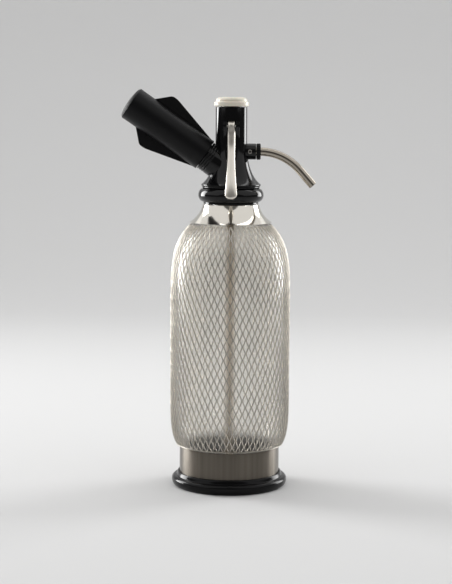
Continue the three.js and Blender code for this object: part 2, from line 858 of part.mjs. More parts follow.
function spoutRing() {
  const start = spoutBossEnd + seatGap;
  const outline = Array.from({ length: 2 * spoutRingRibs }, (_, i) => {
    const radius = spoutBossRadius - (i % 2) * spoutRingRib;
    const angle = (Math.PI * i) / spoutRingRibs;
    return at(radius * Math.cos(angle), radius * Math.sin(angle));
  });
  const ribbed = new THREE.ExtrudeGeometry(new THREE.Shape(outline), {
    depth: spoutRingLength,
    bevelEnabled: false,
  }).translate(0, 0, start);
  const hole = solid(
    alongX(ring(spoutRadius + seatGap, 0, start - overrun, start + spoutRingLength + overrun), spoutHeight),
  );
  return piece("spout_ring", solid(alongX(ribbed, spoutHeight)).subtract(hole), satinBlack);
}

function spoutSetScrew() {
  const inner = spoutRadius + seatGap;
  const body = solid(ring(setScrewRadius, 0, inner, spoutBossRadius, pinSides));
  const recess = solid(
    ring(setScrewRecess, 0, spoutBossRadius - setScrewRecessDepth, spoutBossRadius + overrun, hexSides),
  );
  const place = [towerRadius + setScrewBack, 0, spoutHeight];
  const screw = body.subtract(recess).rotate([90, 0, 0]).translate(place);
  return piece("spout_set_screw", screw, polishedSteel);
}

// Lever

// The place on the lever at rest of a point that it has in the head's side view when squeezed home.
const released = (point) => point.rotateAround(at(-pivotOffset, pivotHeight), -leverPress);

// The lever's inner face, from the pocket to the tip. Squeezed home, it just clears the head.
function leverInnerFace() {
  const watched = leverWatchShares.map((share) => flareBottom + flareHeight * share);
  const face = [pivotHeight - pocketDrop, ...watched, bulgeMiddle].map((height) =>
    released(at(-headReach(height) - leverClear, height)),
  );
  return [...face, at(face[face.length - 1].x, bulgeMiddle + leverTipRise)];
}

// The lever's outline from the side, with the fork that reaches in to the valve stem.
function leverSide() {
  const inner = leverInnerFace();
  const tip = inner[inner.length - 1];
  return [
    ...arc(at(-pivotOffset, pivotHeight), leverHeadRadius, leverHeadRadius, Math.PI, Math.PI / 2),
    at(-pivotOffset + leverHeadRadius, pivotHeight + forkHeight / 2),
    at(forkReach, pivotHeight + forkHeight / 2),
    at(forkReach, pivotHeight - forkHeight / 2),
    at(-pivotOffset + leverHeadRadius, pivotHeight - forkHeight / 2),
    ...inner,
    at(tip.x - leverThickness / 2, tip.y - leverEdge),
    ...inner.map((point) => at(point.x - leverThickness, point.y + leverEdge)).reverse(),
  ];
}

// The lever's outline from the front: narrow, then widening to a round tip.
function leverFront() {
  const half = leverWidth / 2;
  const top = pivotHeight + leverHeadRadius + overrun;
  const waist = pivotHeight - leverWaistDrop;
  const tipMiddle = at(0, bulgeMiddle + leverTipRise + leverTipRound);
  return [
    at(-half, top),
    at(-half, waist),
    ...arc(tipMiddle, leverTipWidth / 2, leverTipRound + leverEdge, Math.PI, 2 * Math.PI),
    at(half, waist),
    at(half, top),
  ];
}

// The slot between the fork's prongs.
function forkSlotCut() {
  const end = -stemRadius - forkSlot / 2;
  const [bottom, top] = [pivotHeight - leverHeadRadius, pivotHeight + leverHeadRadius];
  const outline = [
    at(end, bottom),
    at(forkReach + overrun, bottom),
    at(forkReach + overrun, top),
    at(end, top),
  ];
  return solid(plate(outline, -forkSlot / 2, forkSlot / 2));
}

function lever() {
  const bar = solid(plate(leverSide(), -leverTipWidth / 2, leverTipWidth / 2));
  const depth = 2 * (bulgeRadius + pivotOffset);
  const front = new THREE.ExtrudeGeometry(new THREE.Shape(leverFront()), { depth, bevelEnabled: false })
    .translate(0, 0, -depth / 2)
    .rotateX(Math.PI / 2);
  const hole = solid(pivotRod(pivotRadius + seatGap, leverWidth));
  return piece("lever", bar.intersect(solid(front)).subtract(forkSlotCut()).subtract(hole), polishedSteel);
}

function pivotPin() {
  return piece("pivot_pin", pivotRod(pivotRadius, earInner + earThickness), polishedSteel);
}

// Valve

const collarBottom = pivotHeight + forkHeight / 2 + forkClear;
const sealTop = valveFloor + seatGap + valveSealThickness;
const landBottom = spoutHeight + spoutRadius + seatGap + stemLandClear;
const grooveBottom = landBottom + (stemLandHeight - stemGrooveHeight) / 2;

function valveStem() {
  const footBottom = sealTop + seatGap;
  const landCore = stemLandRadius - stemGroove;
  const outline = [
    at(0, footBottom),
    at(stemFootRadius, footBottom),
    at(stemFootRadius, footBottom + stemFootHeight),
    at(stemRodRadius, footBottom + stemFootHeight),
    at(stemRodRadius, landBottom),
    at(stemLandRadius, landBottom),
    at(stemLandRadius, grooveBottom),
    at(landCore, grooveBottom),
    at(landCore, grooveBottom + stemGrooveHeight),
    at(stemLandRadius, grooveBottom + stemGrooveHeight),
    at(stemLandRadius, landBottom + stemLandHeight),
    at(stemRadius, landBottom + stemLandHeight),
    at(stemRadius, collarBottom),
    at(stemCollarRadius, collarBottom),
    at(stemCollarRadius, collarBottom + stemCollarHeight),
    at(springSeatRadius, collarBottom + stemCollarHeight),
    at(springSeatRadius, collarBottom + stemCollarHeight + springSeatHeight),
    at(0, collarBottom + stemCollarHeight + springSeatHeight),
  ];
  return piece("valve_stem", turned(outline, smallSides), brass);
}

function valveSeal() {
  return piece("valve_seal", ring(valveSealRadius, 0, sealTop - valveSealThickness, sealTop), rubber);
}

function stemSeal() {
  const inner = stemLandRadius - stemGroove + seatGap;
  const outer = valveBore - seatGap / 2;
  const shape = ring(outer, inner, grooveBottom + seatGap, grooveBottom + stemGrooveHeight - seatGap);
  return piece("stem_seal", shape, rubber);
}

// The least gap between a coil's turns, measured on points that lie half a turn or more apart.
function coilGap(path, wire) {
  const points = path.getPoints(path.turns * springStepsPerTurn);
  const away = points.flatMap((point, i) =>
    points.slice(i + springStepsPerTurn / 2).map((other) => point.distanceTo(other)),
  );
  return Math.min(...away) - 2 * wire;
}

function returnSpring() {
  const bottom = collarBottom + stemCollarHeight + seatGap + springWire;
  const top = headTop + turnGap + capSpringDepth - capPlugLength - seatGap - springWire;
  const path = new Helix(springRadius, (top - bottom) / springTurns, springTurns, bottom);
  console.log(`return_spring: least gap ${coilGap(path, springWire).toFixed(2)} mm`);
  return piece("return_spring", wound(path, springWire, springSides, springStepsPerTurn), polishedSteel);
}

// Cap

function cap() {
  const flangeBottomHeight = headTop + turnGap;
  const top = flangeBottomHeight + capFlangeHeight + capTopHeight;
  const plugBottom = flangeBottomHeight - capPlugLength;
  const outline = [
    at(capSpringBore, plugBottom),
    at(capPlugRadius, plugBottom),
    at(capPlugRadius, flangeBottomHeight),
    at(capFlangeRadius, flangeBottomHeight),
    at(capFlangeRadius, flangeBottomHeight + capFlangeHeight - towerEdge),
    at(capFlangeRadius - towerEdge, flangeBottomHeight + capFlangeHeight),
    at(capTopRadius, flangeBottomHeight + capFlangeHeight),
    ...arc(at(capTopRadius - capCrownWidth, top - capCrownHeight), capCrownWidth, capCrownHeight,
      0, Math.PI / 2, roundSteps + 1),
    at(0, top),
    at(0, plugBottom + capSpringDepth),
    at(capSpringBore, plugBottom + capSpringDepth),
  ];
  const ridge = thread(
    capPlugRadius, capThreadHeight, capThreadPitch, capThreadTurns, plugBottom + capThreadPitch,
  );
  return piece("cap", solid(turned(outline, headSides)).add(solid(ridge)), ivory);
}

function capSeal() {
  const inner = capPlugRadius + capThreadHeight + seatGap;
  const bottom = headTop - capSealDepth + seatGap;
  return piece("cap_seal", ring(capSealBore - seatGap, inner, bottom, headTop), rubber);
}

// Charger and holder

function chargerHolder() {
  const outline = [
    at(holderBore, mouthAt),
    at(holderMouthRadius, mouthAt),
    at(holderEndRadius, holderShoulder - towerEdge),
    ...arc(at(0, holderShoulder), holderEndRadius - towerEdge, holderDome, 0, Math.PI / 2, innerCurveSteps),
    at(0, holderInnerEnd),
    at(chargerChamber, holderInnerEnd),
    at(chargerChamber, spigotEnd + turnGap),
    at(holderBore, spigotEnd + turnGap),
  ];
  const finStart = mouthAt + finOffset;
  const root = holderBore + seatGap;
  const crest = holderMouthRadius + finHeight;
  const fin = [
    at(root, finStart),
    at(holderMouthRadius, finStart),
    at(crest, finStart + finLength * (finPeakShare - finCrestShare)),
    at(crest, finStart + finLength * finPeakShare),
    at(holderEndRadius, finStart + finLength),
    at(root, finStart + finLength),
  ];
  // The fins stand in the XZ plane, so that one points up and one down when the holder is home.
  const wings = [1, -1].map((side) =>
    new THREE.ExtrudeGeometry(new THREE.Shape(fin), { depth: finThickness, bevelEnabled: false })
      .translate(0, 0, -finThickness / 2)
      .rotateX(Math.PI / 2)
      .rotateZ(side > 0 ? 0 : Math.PI),
  );
  const shell = solid(leaned(turned(outline, headSides)));
  const body = wings.reduce((sum, wing) => sum.add(solid(leaned(wing))), shell);
  return piece("charger_holder", body, satinBlack);
}

// One face of the charger's wall, from its neck to the middle of its round end; inset is 0 outside.
function chargerFace(inset) {
  const neckEnd = chargerTip + chargerNeckLength;
  const neck = at(chargerNeckRadius - inset, neckEnd);
  const body = at(chargerRadius - inset, neckEnd + chargerShoulderLength);
  const dome = chargerRadius / 2;
  return [
    at(chargerNeckRadius - inset, chargerTip + inset),
    ...curve(neck, body, chargerCurveShares, roundSteps),
    ...arc(at(0, chargerEnd - dome), chargerRadius - inset, dome - inset, 0, Math.PI / 2, roundSteps),
  ];
}

// The charger has been pierced, so its hollow opens at the tip.
function charger() {
  const outline = [
    at(chargerPierceRadius, chargerTip),
    ...chargerFace(0),
    ...chargerFace(chargerWall).reverse(),
    at(chargerPierceRadius, chargerTip + chargerWall),
  ];
  return piece("gas_charger", leaned(turned(outline, smallSides)), brushedSteel);
}

function piercingPin() {
  const outline = [
    at(gasRadius, pinSeatBottom),
    at(pinWellRadius - seatGap, pinSeatBottom),
    at(pinWellRadius - seatGap, pinSeatTop),
    at(pinSpikeRadius + gasRadius, pinSeatTop),
    at(pinSpikeRadius, pinSeatTop + pinSpikeRadius),
    at(pinSpikeRadius, pinSeatTop + pinSpikeLength - pinSpikeRadius),
    at(0, pinSeatTop + pinSpikeLength),
    at(0, pinSeatBottom + pinSeatThickness / 2),
    at(gasRadius, pinSeatBottom + pinSeatThickness / 2),
  ];
  return piece("piercing_pin", leaned(turned(outline, pinSides)), brushedSteel);
}

function chargerSeal() {
  const inner = pinSpikeRadius + gasRadius + seatGap;
  const top = chargerSealBottom + chargerSealThickness;
  const shape = ring(pinWellRadius - seatGap, inner, chargerSealBottom, top);
  return piece("charger_seal", leaned(shape), rubber);
}

function checkValve() {
  const outline = [
    at(checkValveBore, valveWellFloor + seatGap),
    at(valveWellRadius / 2, valveWellFloor + seatGap),
    at(valveWellRadius - seatGap, pinWellFloor - valveWellLength / 2),
    at(valveWellRadius - seatGap, pinWellFloor),
    at(checkValveBore, pinWellFloor),
  ];
  return piece("check_valve", leaned(turned(outline, pinSides)), rubber);
}

const siphon = new THREE.Group();
siphon.add(
  baseRing(), footCup(), cushion(), glassBottle(), wireMesh(), neckCollar(),
  riserTube(), riserSeal(), fillingTube(), headGasket(),
  headBody(), spoutTube(), spoutRing(), spoutSetScrew(), pivotPin(),
  piercingPin(), chargerSeal(), checkValve(),
  lever(), valveStem(), valveSeal(), stemSeal(), returnSpring(),
  cap(), capSeal(), charger(), chargerHolder(),
);

export default siphon;
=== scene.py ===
"""A mesh-jacketed soda siphon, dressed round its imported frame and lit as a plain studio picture."""

import json
import logging
import math
from dataclasses import dataclass, field
from enum import Enum
from typing import Callable, Optional, Sequence

import bmesh
import bpy
from mathutils import Matrix, Vector


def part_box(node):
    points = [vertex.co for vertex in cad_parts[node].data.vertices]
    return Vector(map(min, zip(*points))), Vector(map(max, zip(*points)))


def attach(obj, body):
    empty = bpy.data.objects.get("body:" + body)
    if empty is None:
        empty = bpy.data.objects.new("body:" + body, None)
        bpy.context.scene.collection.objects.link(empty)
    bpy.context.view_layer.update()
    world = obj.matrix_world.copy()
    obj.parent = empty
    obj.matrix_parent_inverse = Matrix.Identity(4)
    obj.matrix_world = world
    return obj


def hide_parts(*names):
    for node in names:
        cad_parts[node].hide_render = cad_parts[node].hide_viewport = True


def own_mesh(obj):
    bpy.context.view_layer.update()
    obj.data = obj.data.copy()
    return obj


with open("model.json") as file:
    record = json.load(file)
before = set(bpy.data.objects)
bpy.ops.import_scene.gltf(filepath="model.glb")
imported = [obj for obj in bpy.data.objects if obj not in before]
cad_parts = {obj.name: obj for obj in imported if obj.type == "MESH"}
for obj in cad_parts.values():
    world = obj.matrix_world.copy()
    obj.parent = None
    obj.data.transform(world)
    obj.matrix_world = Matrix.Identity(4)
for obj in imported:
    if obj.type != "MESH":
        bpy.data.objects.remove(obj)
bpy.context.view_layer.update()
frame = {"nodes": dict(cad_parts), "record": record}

LOG = logging.getLogger("siphon")

MM = 0.001
TAU = 2 * math.pi
OVERRUN = 2.0  # how far a cut runs on past the face that it opens
ON_AXIS = 1e-6  # a smaller radius is a point
MERGE = 1e-5  # points closer than this become one
MOST_OF_SIDE = 0.49  # the share of a side that a rounded corner can take

Point = tuple[float, float]
Feeds = dict[str | int, object]
Piece = bpy.types.Object
Socket = bpy.types.NodeSocket
Given = bpy.types.NodeOutputs
Work = bmesh.types.BMesh


class Slot(Enum):
    """The record's material slots, by the finish that each one names."""

    GLOSS_BLACK = "gloss_black"
    SATIN_BLACK = "satin_black"
    IVORY = "ivory"
    NATURAL_PLASTIC = "natural_plastic"
    RUBBER = "rubber"
    CLEAR_GLASS = "clear_glass"
    MESH_STEEL = "mesh_steel"
    BRUSHED_BAND = "brushed_band"
    POLISHED_STEEL = "polished_steel"
    SATIN_CHROME = "satin_chrome"
    BRASS = "brass"
    CHARGER_STEEL = "charger_steel"


class Body(Enum):
    """The rigid bodies that the pieces ride on."""

    BOTTLE = "bottle"
    HEAD = "head"
    LEVER = "lever"
    VALVE = "valve"
    CAP = "cap"
    HOLDER = "holder"


# Finishes


class Nodes:
    """A short way to build one node tree, for a material or for geometry."""

    def __init__(self, tree: bpy.types.NodeTree) -> None:
        """Takes the tree that the nodes go into."""
        self.tree = tree

    @classmethod
    def group(cls, name: str, counts: Sequence[str], measures: Sequence[str]) -> tuple["Nodes", Given]:
        """Starts a geometry tree that takes a mesh, its sizes and a finish, and gives a mesh.

        Args:
            name: The tree's name.
            counts: The names of its inputs that are whole numbers.
            measures: The names of its inputs that are lengths or shares.

        Returns:
            The tree's builder and the tree's inputs.
        """
        tree = bpy.data.node_groups.new(name, "GeometryNodeTree")
        kinds = [("Geometry", "Geometry"), *((count, "Int") for count in counts),
                 *((measure, "Float") for measure in measures), ("Finish", "Material")]
        for socket, kind in kinds:
            tree.interface.new_socket(socket, in_out="INPUT", socket_type=f"NodeSocket{kind}")
        tree.interface.new_socket("Geometry", in_out="OUTPUT", socket_type="NodeSocketGeometry")
        nodes = cls(tree)
        return nodes, nodes.add("NodeGroupInput").outputs

    def add(self, kind: str, feeds: Optional[Feeds] = None, **settings: object) -> bpy.types.Node:
        """Adds a node.

        Args:
            kind: The node's type name.
            feeds: What its inputs get.
            settings: Its properties.

        Returns:
            The new node.
        """
        node = self.tree.nodes.new(kind)
        for key, value in settings.items():
            setattr(node, key, value)
        self.feed(node, feeds or {})
        return node

    def feed(self, node: bpy.types.Node, feeds: Feeds) -> None:
        """Gives a node's inputs, by name or number, another node's output or a plain value each."""
        for key, value in feeds.items():
            if isinstance(value, Socket):
                self.tree.links.new(value, node.inputs[key])
            else:
                node.inputs[key].default_value = value

    def math(self, operation: str, *terms: object) -> Socket:
        """Adds a math node on outputs or numbers, and returns its own output."""
        return self.add("ShaderNodeMath", dict(enumerate(terms)), operation=operation).outputs[0]

    def angle(self, count: Socket) -> Socket:
        """Returns the angle of each point, when so many stand evenly round the axis."""
        index = self.add("GeometryNodeInputIndex").outputs["Index"]
        return self.math("MULTIPLY", index, self.math("DIVIDE", TAU, count))

    def skin(self, curve: Socket, given: Given, **more: object) -> Socket:
        """Gives a curve a round section, as thick and fine as the inputs Wire and Wire Sides say.

        Args:
            curve: The curve.
            given: The tree's inputs.
            more: What else the node that skins it gets.

        Returns:
            The wire's mesh.
        """
        section = self.add("GeometryNodeCurvePrimitiveCircle", {
            "Resolution": given["Wire Sides"], "Radius": given["Wire"],
        })
        feeds = {"Curve": curve, "Profile Curve": section.outputs["Curve"], "Fill Caps": True, **more}
        return self.add("GeometryNodeCurveToMesh", feeds).outputs["Mesh"]

    def close(self, geometry: Socket, given: Given) -> bpy.types.NodeTree:
        """Ends a geometry tree with real meshes in the finish that it is given, and returns it."""
        real = self.add("GeometryNodeRealizeInstances", {"Geometry": geometry})
        finished = self.add("GeometryNodeSetMaterial", {
            "Geometry": real.outputs["Geometry"], "Material": given["Finish"],
        })
        self.add("NodeGroupOutput", {"Geometry": finished.outputs["Geometry"]})
        return self.tree


@dataclass(frozen=True)
class Finish:
    """One surface: its colour, its gloss and the fine relief that breaks both up."""

    slot: Slot
    colour: tuple[float, float, float]
    roughness: float
    metallic: float = 0.0
    mottle: float = 0.08
    mottle_scale: float = 60.0
    rough_spread: float = 0.05
    smoothest: float = 0.02
    relief: float = 0.02
    relief_scale: float = 900.0
    stretch: tuple[float, float, float] = (1.0, 1.0, 1.0)
    coat: float = 0.0
    transmission: float = 0.0
    ior: float = 1.5
    subsurface: float = 0.0
    anisotropic: float = 0.0
    specular: float = 0.5
    variant: str = ""

    def material(self) -> bpy.types.Material:
        """Returns the finish's material, built the first time that it is asked for."""
        name = f"finish_{self.slot.value}{self.variant}"
        made = bpy.data.materials.get(name)
        if made is None:
            made = bpy.data.materials.new(name)
            made.use_nodes = True
            self.build(Nodes(made.node_tree))
        return made

    def build(self, nodes: Nodes) -> None:
        """Builds the material's nodes on object coordinates."""
        place = nodes.add("ShaderNodeTexCoord")
        mapping = nodes.add("ShaderNodeMapping", {"Scale": self.stretch, "Vector": place.outputs["Object"]})
        broad, fine = (
            nodes.add("ShaderNodeTexNoise", {
                "Scale": scale, "Detail": 4.0, "Vector": mapping.outputs["Vector"],
            }).outputs["Fac"]
            for scale in (self.mottle_scale, self.relief_scale)
        )
        dark, light = (
            (*[min(1.0, channel * (1 + change)) for channel in self.colour], 1)
            for change in (-self.mottle, self.mottle)
        )
        tint = nodes.add("ShaderNodeMix", {"A": dark, "B": light, "Factor": broad}, data_type="RGBA")
        gloss = nodes.add("ShaderNodeMapRange", {
            "Value": broad, "To Min": max(self.smoothest, self.roughness - self.rough_spread),
            "To Max": self.roughness + self.rough_spread,
        })
        bump = nodes.add("ShaderNodeBump", {"Strength": self.relief, "Distance": MM, "Height": fine})
        shader = nodes.tree.nodes["Principled BSDF"]
        nodes.feed(shader, {
            "Base Color": tint.outputs["Result"], "Roughness": gloss.outputs["Result"],
            "Normal": bump.outputs["Normal"], "Metallic": self.metallic, "Coat Weight": self.coat,
            "Coat Roughness": self.roughness / 3, "Transmission Weight": self.transmission, "IOR": self.ior,
            "Subsurface Weight": self.subsurface, "Subsurface Scale": MM, "Specular IOR Level": self.specular,
        })
        if self.anisotropic:
            round_z = nodes.add("ShaderNodeTangent", direction_type="RADIAL", axis="Z")
            nodes.feed(shader, {
                "Tangent": round_z.outputs["Tangent"], "Anisotropic": self.anisotropic,
                "Anisotropic Rotation": 0.25,
            })


GLOSS_BLACK = Finish(Slot.GLOSS_BLACK, (0.003, 0.003, 0.0034), 0.09, relief=0.01, mottle=0.2, specular=0.3)
FOOT_BLACK = Finish(
    Slot.GLOSS_BLACK, (0.003, 0.003, 0.0034), 0.16, relief=0.02, mottle=0.2, specular=0.18, variant="_foot",
)
SATIN_BLACK = Finish(
    Slot.SATIN_BLACK, (0.0035, 0.0035, 0.004), 0.38, relief=0.12, relief_scale=2600.0, mottle=0.2,
    specular=0.18,
)
IVORY = Finish(Slot.IVORY, (0.76, 0.72, 0.61), 0.28, relief=0.008, mottle=0.03, subsurface=0.1)
NATURAL_PLASTIC = Finish(Slot.NATURAL_PLASTIC, (0.6, 0.48, 0.34), 0.4, mottle=0.12)
RUBBER = Finish(Slot.RUBBER, (0.02, 0.02, 0.02), 0.7, relief=0.2, relief_scale=1500.0)
CLEAR_GLASS = Finish(
    Slot.CLEAR_GLASS, (0.99, 0.98, 0.955), 0.22, mottle=0.005, rough_spread=0.03, relief=0.04,
    relief_scale=40.0, transmission=1.0, coat=0.5,
)
MESH_STEEL = Finish(Slot.MESH_STEEL, (0.54, 0.507, 0.45), 0.24, metallic=1.0, mottle=0.25, relief=0.05)
RIM_STEEL = Finish(
    Slot.MESH_STEEL, (0.4, 0.375, 0.333), 0.42, metallic=1.0, mottle=0.25, relief=0.05, variant="_rim",
)
BRUSHED_BAND = Finish(
    Slot.BRUSHED_BAND, (0.155, 0.138, 0.116), 0.36, metallic=1.0, mottle=0.4, mottle_scale=260.0,
    relief=0.05, relief_scale=1400.0, stretch=(1.0, 1.0, 0.02), rough_spread=0.08, anisotropic=0.85,
)
POLISHED_STEEL = Finish(Slot.POLISHED_STEEL, (0.72, 0.69, 0.63), 0.1, metallic=1.0, mottle=0.04)
SPOUT_STEEL = Finish(
    Slot.POLISHED_STEEL, (0.37, 0.335, 0.285), 0.13, metallic=1.0, mottle=0.06, variant="_spout",
)
SCREW_STEEL = Finish(
    Slot.POLISHED_STEEL, (0.34, 0.32, 0.3), 0.4, metallic=1.0, mottle=0.1, variant="_screw",
)
SATIN_CHROME = Finish(Slot.SATIN_CHROME, (0.78, 0.74, 0.67), 0.33, metallic=1.0, mottle=0.05)
BRASS = Finish(Slot.BRASS, (0.6, 0.44, 0.2), 0.3, metallic=1.0)
CHARGER_STEEL = Finish(Slot.CHARGER_STEEL, (0.55, 0.54, 0.53), 0.35, metallic=1.0)

FINISHES = {
    finish.slot: finish
    for finish in (
        GLOSS_BLACK, SATIN_BLACK, IVORY, NATURAL_PLASTIC, RUBBER, CLEAR_GLASS, MESH_STEEL,
        BRUSHED_BAND, POLISHED_STEEL, SATIN_CHROME, BRASS, CHARGER_STEEL,
    )
}


# Meshes


@dataclass(frozen=True)
class Corner:
    """A corner of an outline in millimetres, with the radius that rounds it."""

    r: float
    z: float
    round: float = 0.0


def rounded(corners: Sequence[Corner], steps: int = 5) -> list[Point]:
    """Rounds the corners of an outline.

    Args:
        corners: The outline's corners, in order; the first and last stay sharp.
        steps: How many steps each round corner takes.

    Returns:
        The outline's points.
    """
    points: list[Point] = []
    for index, corner in enumerate(corners):
        here = Vector((corner.r, corner.z))
        if not corner.round or index in (0, len(corners) - 1):
            points.append((corner.r, corner.z))
            continue
        before = Vector((corners[index - 1].r, corners[index - 1].z)) - here
        after = Vector((corners[index + 1].r, corners[index + 1].z)) - here
        reach = min(corner.round, before.length * MOST_OF_SIDE, after.length * MOST_OF_SIDE)
        start = here + before.normalized() * reach
        end = here + after.normalized() * reach
        for step in range(steps + 1):
            t = step / steps
            spot = start * (1 - t) ** 2 + here * (2 * t * (1 - t)) + end * t ** 2
            points.append((spot.x, spot.y))
    return points


def cubic(start: Point, end: Point, shares: Sequence[float], steps: int = 24) -> list[Point]:
    """Points of a cubic curve.

    Args:
        start: Where it starts.
        end: Where it ends.
        shares: The places of its two handles, as shares of the box that it spans.
        steps: How many steps it takes.

    Returns:
        The points, with both ends.
    """
    a, d = Vector(start), Vector(end)
    span = d - a
    b = a + Vector((span.x * shares[0], span.y * shares[1]))
    c = a + Vector((span.x * shares[2], span.y * shares[3]))
    points = []
    for step in range(steps + 1):
        t = step / steps
        spot = a * (1 - t) ** 3 + b * (3 * t * (1 - t) ** 2) + c * (3 * t * t * (1 - t)) + d * t ** 3
        points.append((spot.x, spot.y))
    return points


def arc(centre: Point, wide: float, high: float, start: float, end: float, steps: int = 12) -> list[Point]:
    """Points of an elliptical arc, with its angles in degrees."""
    angles = [math.radians(start + (end - start) * step / steps) for step in range(steps + 1)]
    return [(centre[0] + wide * math.cos(a), centre[1] + high * math.sin(a)) for a in angles]


def directions(points: Sequence[Vector]) -> list[Vector]:
    """The direction of a line at each of its points."""
    last = len(points) - 1
    ends = [(max(0, index - 1), min(last, index + 1)) for index in range(last + 1)]
    return [(points[after] - points[before]).normalized() for before, after in ends]


def runs_of(points: Sequence[Vector]) -> list[float]:
    """The length of a line up to each of its points."""
    runs = [0.0]
    for before, after in zip(points, points[1:]):
        runs.append(runs[-1] + (after - before).length)
    return runs


def mesh_from(name: str, build: Callable[[Work], object]) -> Piece:
    """Makes a smooth-shaded object whose faces point outwards.

    Args:
        name: The object's name.
        build: Fills the mesh, in millimetres.

    Returns:
        The object, at the origin.
    """
    work = bmesh.new()
    build(work)
    bmesh.ops.remove_doubles(work, verts=work.verts, dist=MERGE)
    bmesh.ops.recalc_face_normals(work, faces=work.faces)
    bmesh.ops.scale(work, vec=(MM, MM, MM), verts=work.verts)
    data = bpy.data.meshes.new(name)
    work.to_mesh(data)
    work.free()
    shade(data)
    return put(name, data)


def put(name: str, data: bpy.types.ID) -> Piece:
    """Makes an object of a mesh, a lamp or a camera and puts it in the scene."""
    made = bpy.data.objects.new(name, data)
    bpy.context.scene.collection.objects.link(made)
    return made


def shade(data: bpy.types.Mesh, sharp: float = 32.0) -> None:
    """Shades a mesh smooth, apart from the edges sharper than an angle in degrees."""
    data.shade_smooth()
    data.set_sharp_from_angle(angle=math.radians(sharp))


def bridge(work: Work, rings: Sequence[Sequence[bmesh.types.BMVert]], closed: bool = False) -> None:
    """Joins rings of equal length with faces.

    Args:
        work: The mesh that takes the faces.
        rings: The rings, in order; a ring without width repeats one point.
        closed: Whether the last ring joins the first.
    """
    pairs = list(zip(rings, rings[1:]))
    if closed:
        pairs.append((rings[-1], rings[0]))
    for low, high in pairs:
        for side in range(len(low)):
            after = (side + 1) % len(low)
            face = list(dict.fromkeys((low[side], low[after], high[after], high[side])))
            if len(face) > 2:
                work.faces.new(face)


def spin(work: Work, outline: Sequence[Point], sides: int, closed: bool = False) -> None:
    """Turns an outline about Z.

    Args:
        work: The mesh that takes the faces.
        outline: Points of radius and height.
        sides: How many sides the turned shape has.
        closed: Whether the last point joins the first.
    """
    angles = [TAU * side / sides for side in range(sides)]
    rings = []
    for r, z in outline:
        if r < ON_AXIS:
            rings.append([work.verts.new((0, 0, z))] * sides)
        else:
            rings.append([work.verts.new((r * math.cos(a), r * math.sin(a), z)) for a in angles])
    bridge(work, rings, closed)


def turned(name: str, outline: Sequence[Point], sides: int = 128, closed: bool = False) -> Piece:
    """Makes a turned piece about Z."""
    return mesh_from(name, lambda work: spin(work, outline, sides, closed))


def rod(name: str, radius: float, low: float, high: float, sides: int) -> Piece:
    """Makes a plain rod about Z, from one height to another."""
    return turned(name, [(0, low), (radius, low), (radius, high), (0, high)], sides)


def loft(
    work: Work, sections: Sequence[Sequence[Sequence[float]]],
) -> tuple[bmesh.types.BMFace, bmesh.types.BMFace]:
    """Skins closed sections of equal length and closes both ends.

    Args:
        work: The mesh that takes the faces.
        sections: The sections, in order.

    Returns:
        The faces at the two ends.
    """
    rings = [[work.verts.new(spot) for spot in section] for section in sections]
    bridge(work, rings)
    return work.faces.new(rings[0]), work.faces.new(list(reversed(rings[-1])))


def boxy(half_wide: float, half_deep: float, count: int, square: float) -> list[Point]:
    """Points of a rounded oblong.

    Args:
        half_wide: Half its width.
        half_deep: Half its depth.
        count: How many points it has.
        square: 2 for an ellipse, more for squarer corners.

    Returns:
        The points, anticlockwise.
    """
    points = []
    for index in range(count):
        angle = TAU * index / count
        c, s = math.cos(angle), math.sin(angle)
        points.append((
            half_wide * math.copysign(abs(c) ** (2 / square), c),
            half_deep * math.copysign(abs(s) ** (2 / square), s),
        ))
    return points


def carve(base: Piece, tool: Piece, operation: str) -> None:
    """Joins or cuts a piece with another, which is used up.

    Args:
        base: The piece that changes.
        tool: The other one.
        operation: UNION or DIFFERENCE.
    """
    step = base.modifiers.new("step", "BOOLEAN")
    step.operation = operation
    step.solver = "EXACT"
    step.object = tool
    settle(base)
    bpy.data.objects.remove(tool)


def settle(piece: Piece) -> None:
    """Turns a piece and its modifiers into a plain mesh."""
    bpy.context.view_layer.update()
    evaluated = piece.evaluated_get(bpy.context.evaluated_depsgraph_get())
    data = bpy.data.meshes.new_from_object(evaluated)
    piece.modifiers.clear()
    piece.data = data


def place(piece: Piece, matrix: Matrix) -> Piece:
    """Moves a piece by moving its mesh, with the matrix in millimetres."""
    scaled = matrix.copy()
    scaled.translation = scaled.translation * MM
    piece.data.transform(scaled)
    return piece


def turned_over(spot: Sequence[float], angle: float = math.pi / 2, axis: str = "Y") -> Matrix:
    """The matrix that turns a piece about an axis, then moves its origin to a spot."""
    return Matrix.Translation(spot) @ Matrix.Rotation(angle, 4, axis)


def dress(piece: Piece, finish: Finish, body: Body, *nodes: str) -> Piece:
    """Gives a piece its finish and its body.

    Args:
        piece: The piece.
        finish: Its finish.
        body: The body that it rides on.
        nodes: The frame's nodes that it stands for.

    Returns:
        The piece.
    """
    piece.data.materials.clear()
    piece.data.materials.append(finish.material())
    if nodes:
        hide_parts(*nodes)
    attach(piece, body.value)
    LOG.info("%s: %d faces on %s", piece.name, len(piece.data.polygons), body.value)
    return piece


def grow(piece: Piece, tree: bpy.types.NodeTree, values: dict[str, object]) -> None:
    """Runs a geometry tree on a piece and keeps the mesh that it gives.

    Args:
        piece: The piece that changes.
        tree: The tree.
        values: The values of its inputs, by their names.
    """
    step = piece.modifiers.new(tree.name, "NODES")
    step.node_group = tree
    for item in tree.interface.items_tree:
        if item.name in values:
            step[item.identifier] = values[item.name]
    settle(piece)


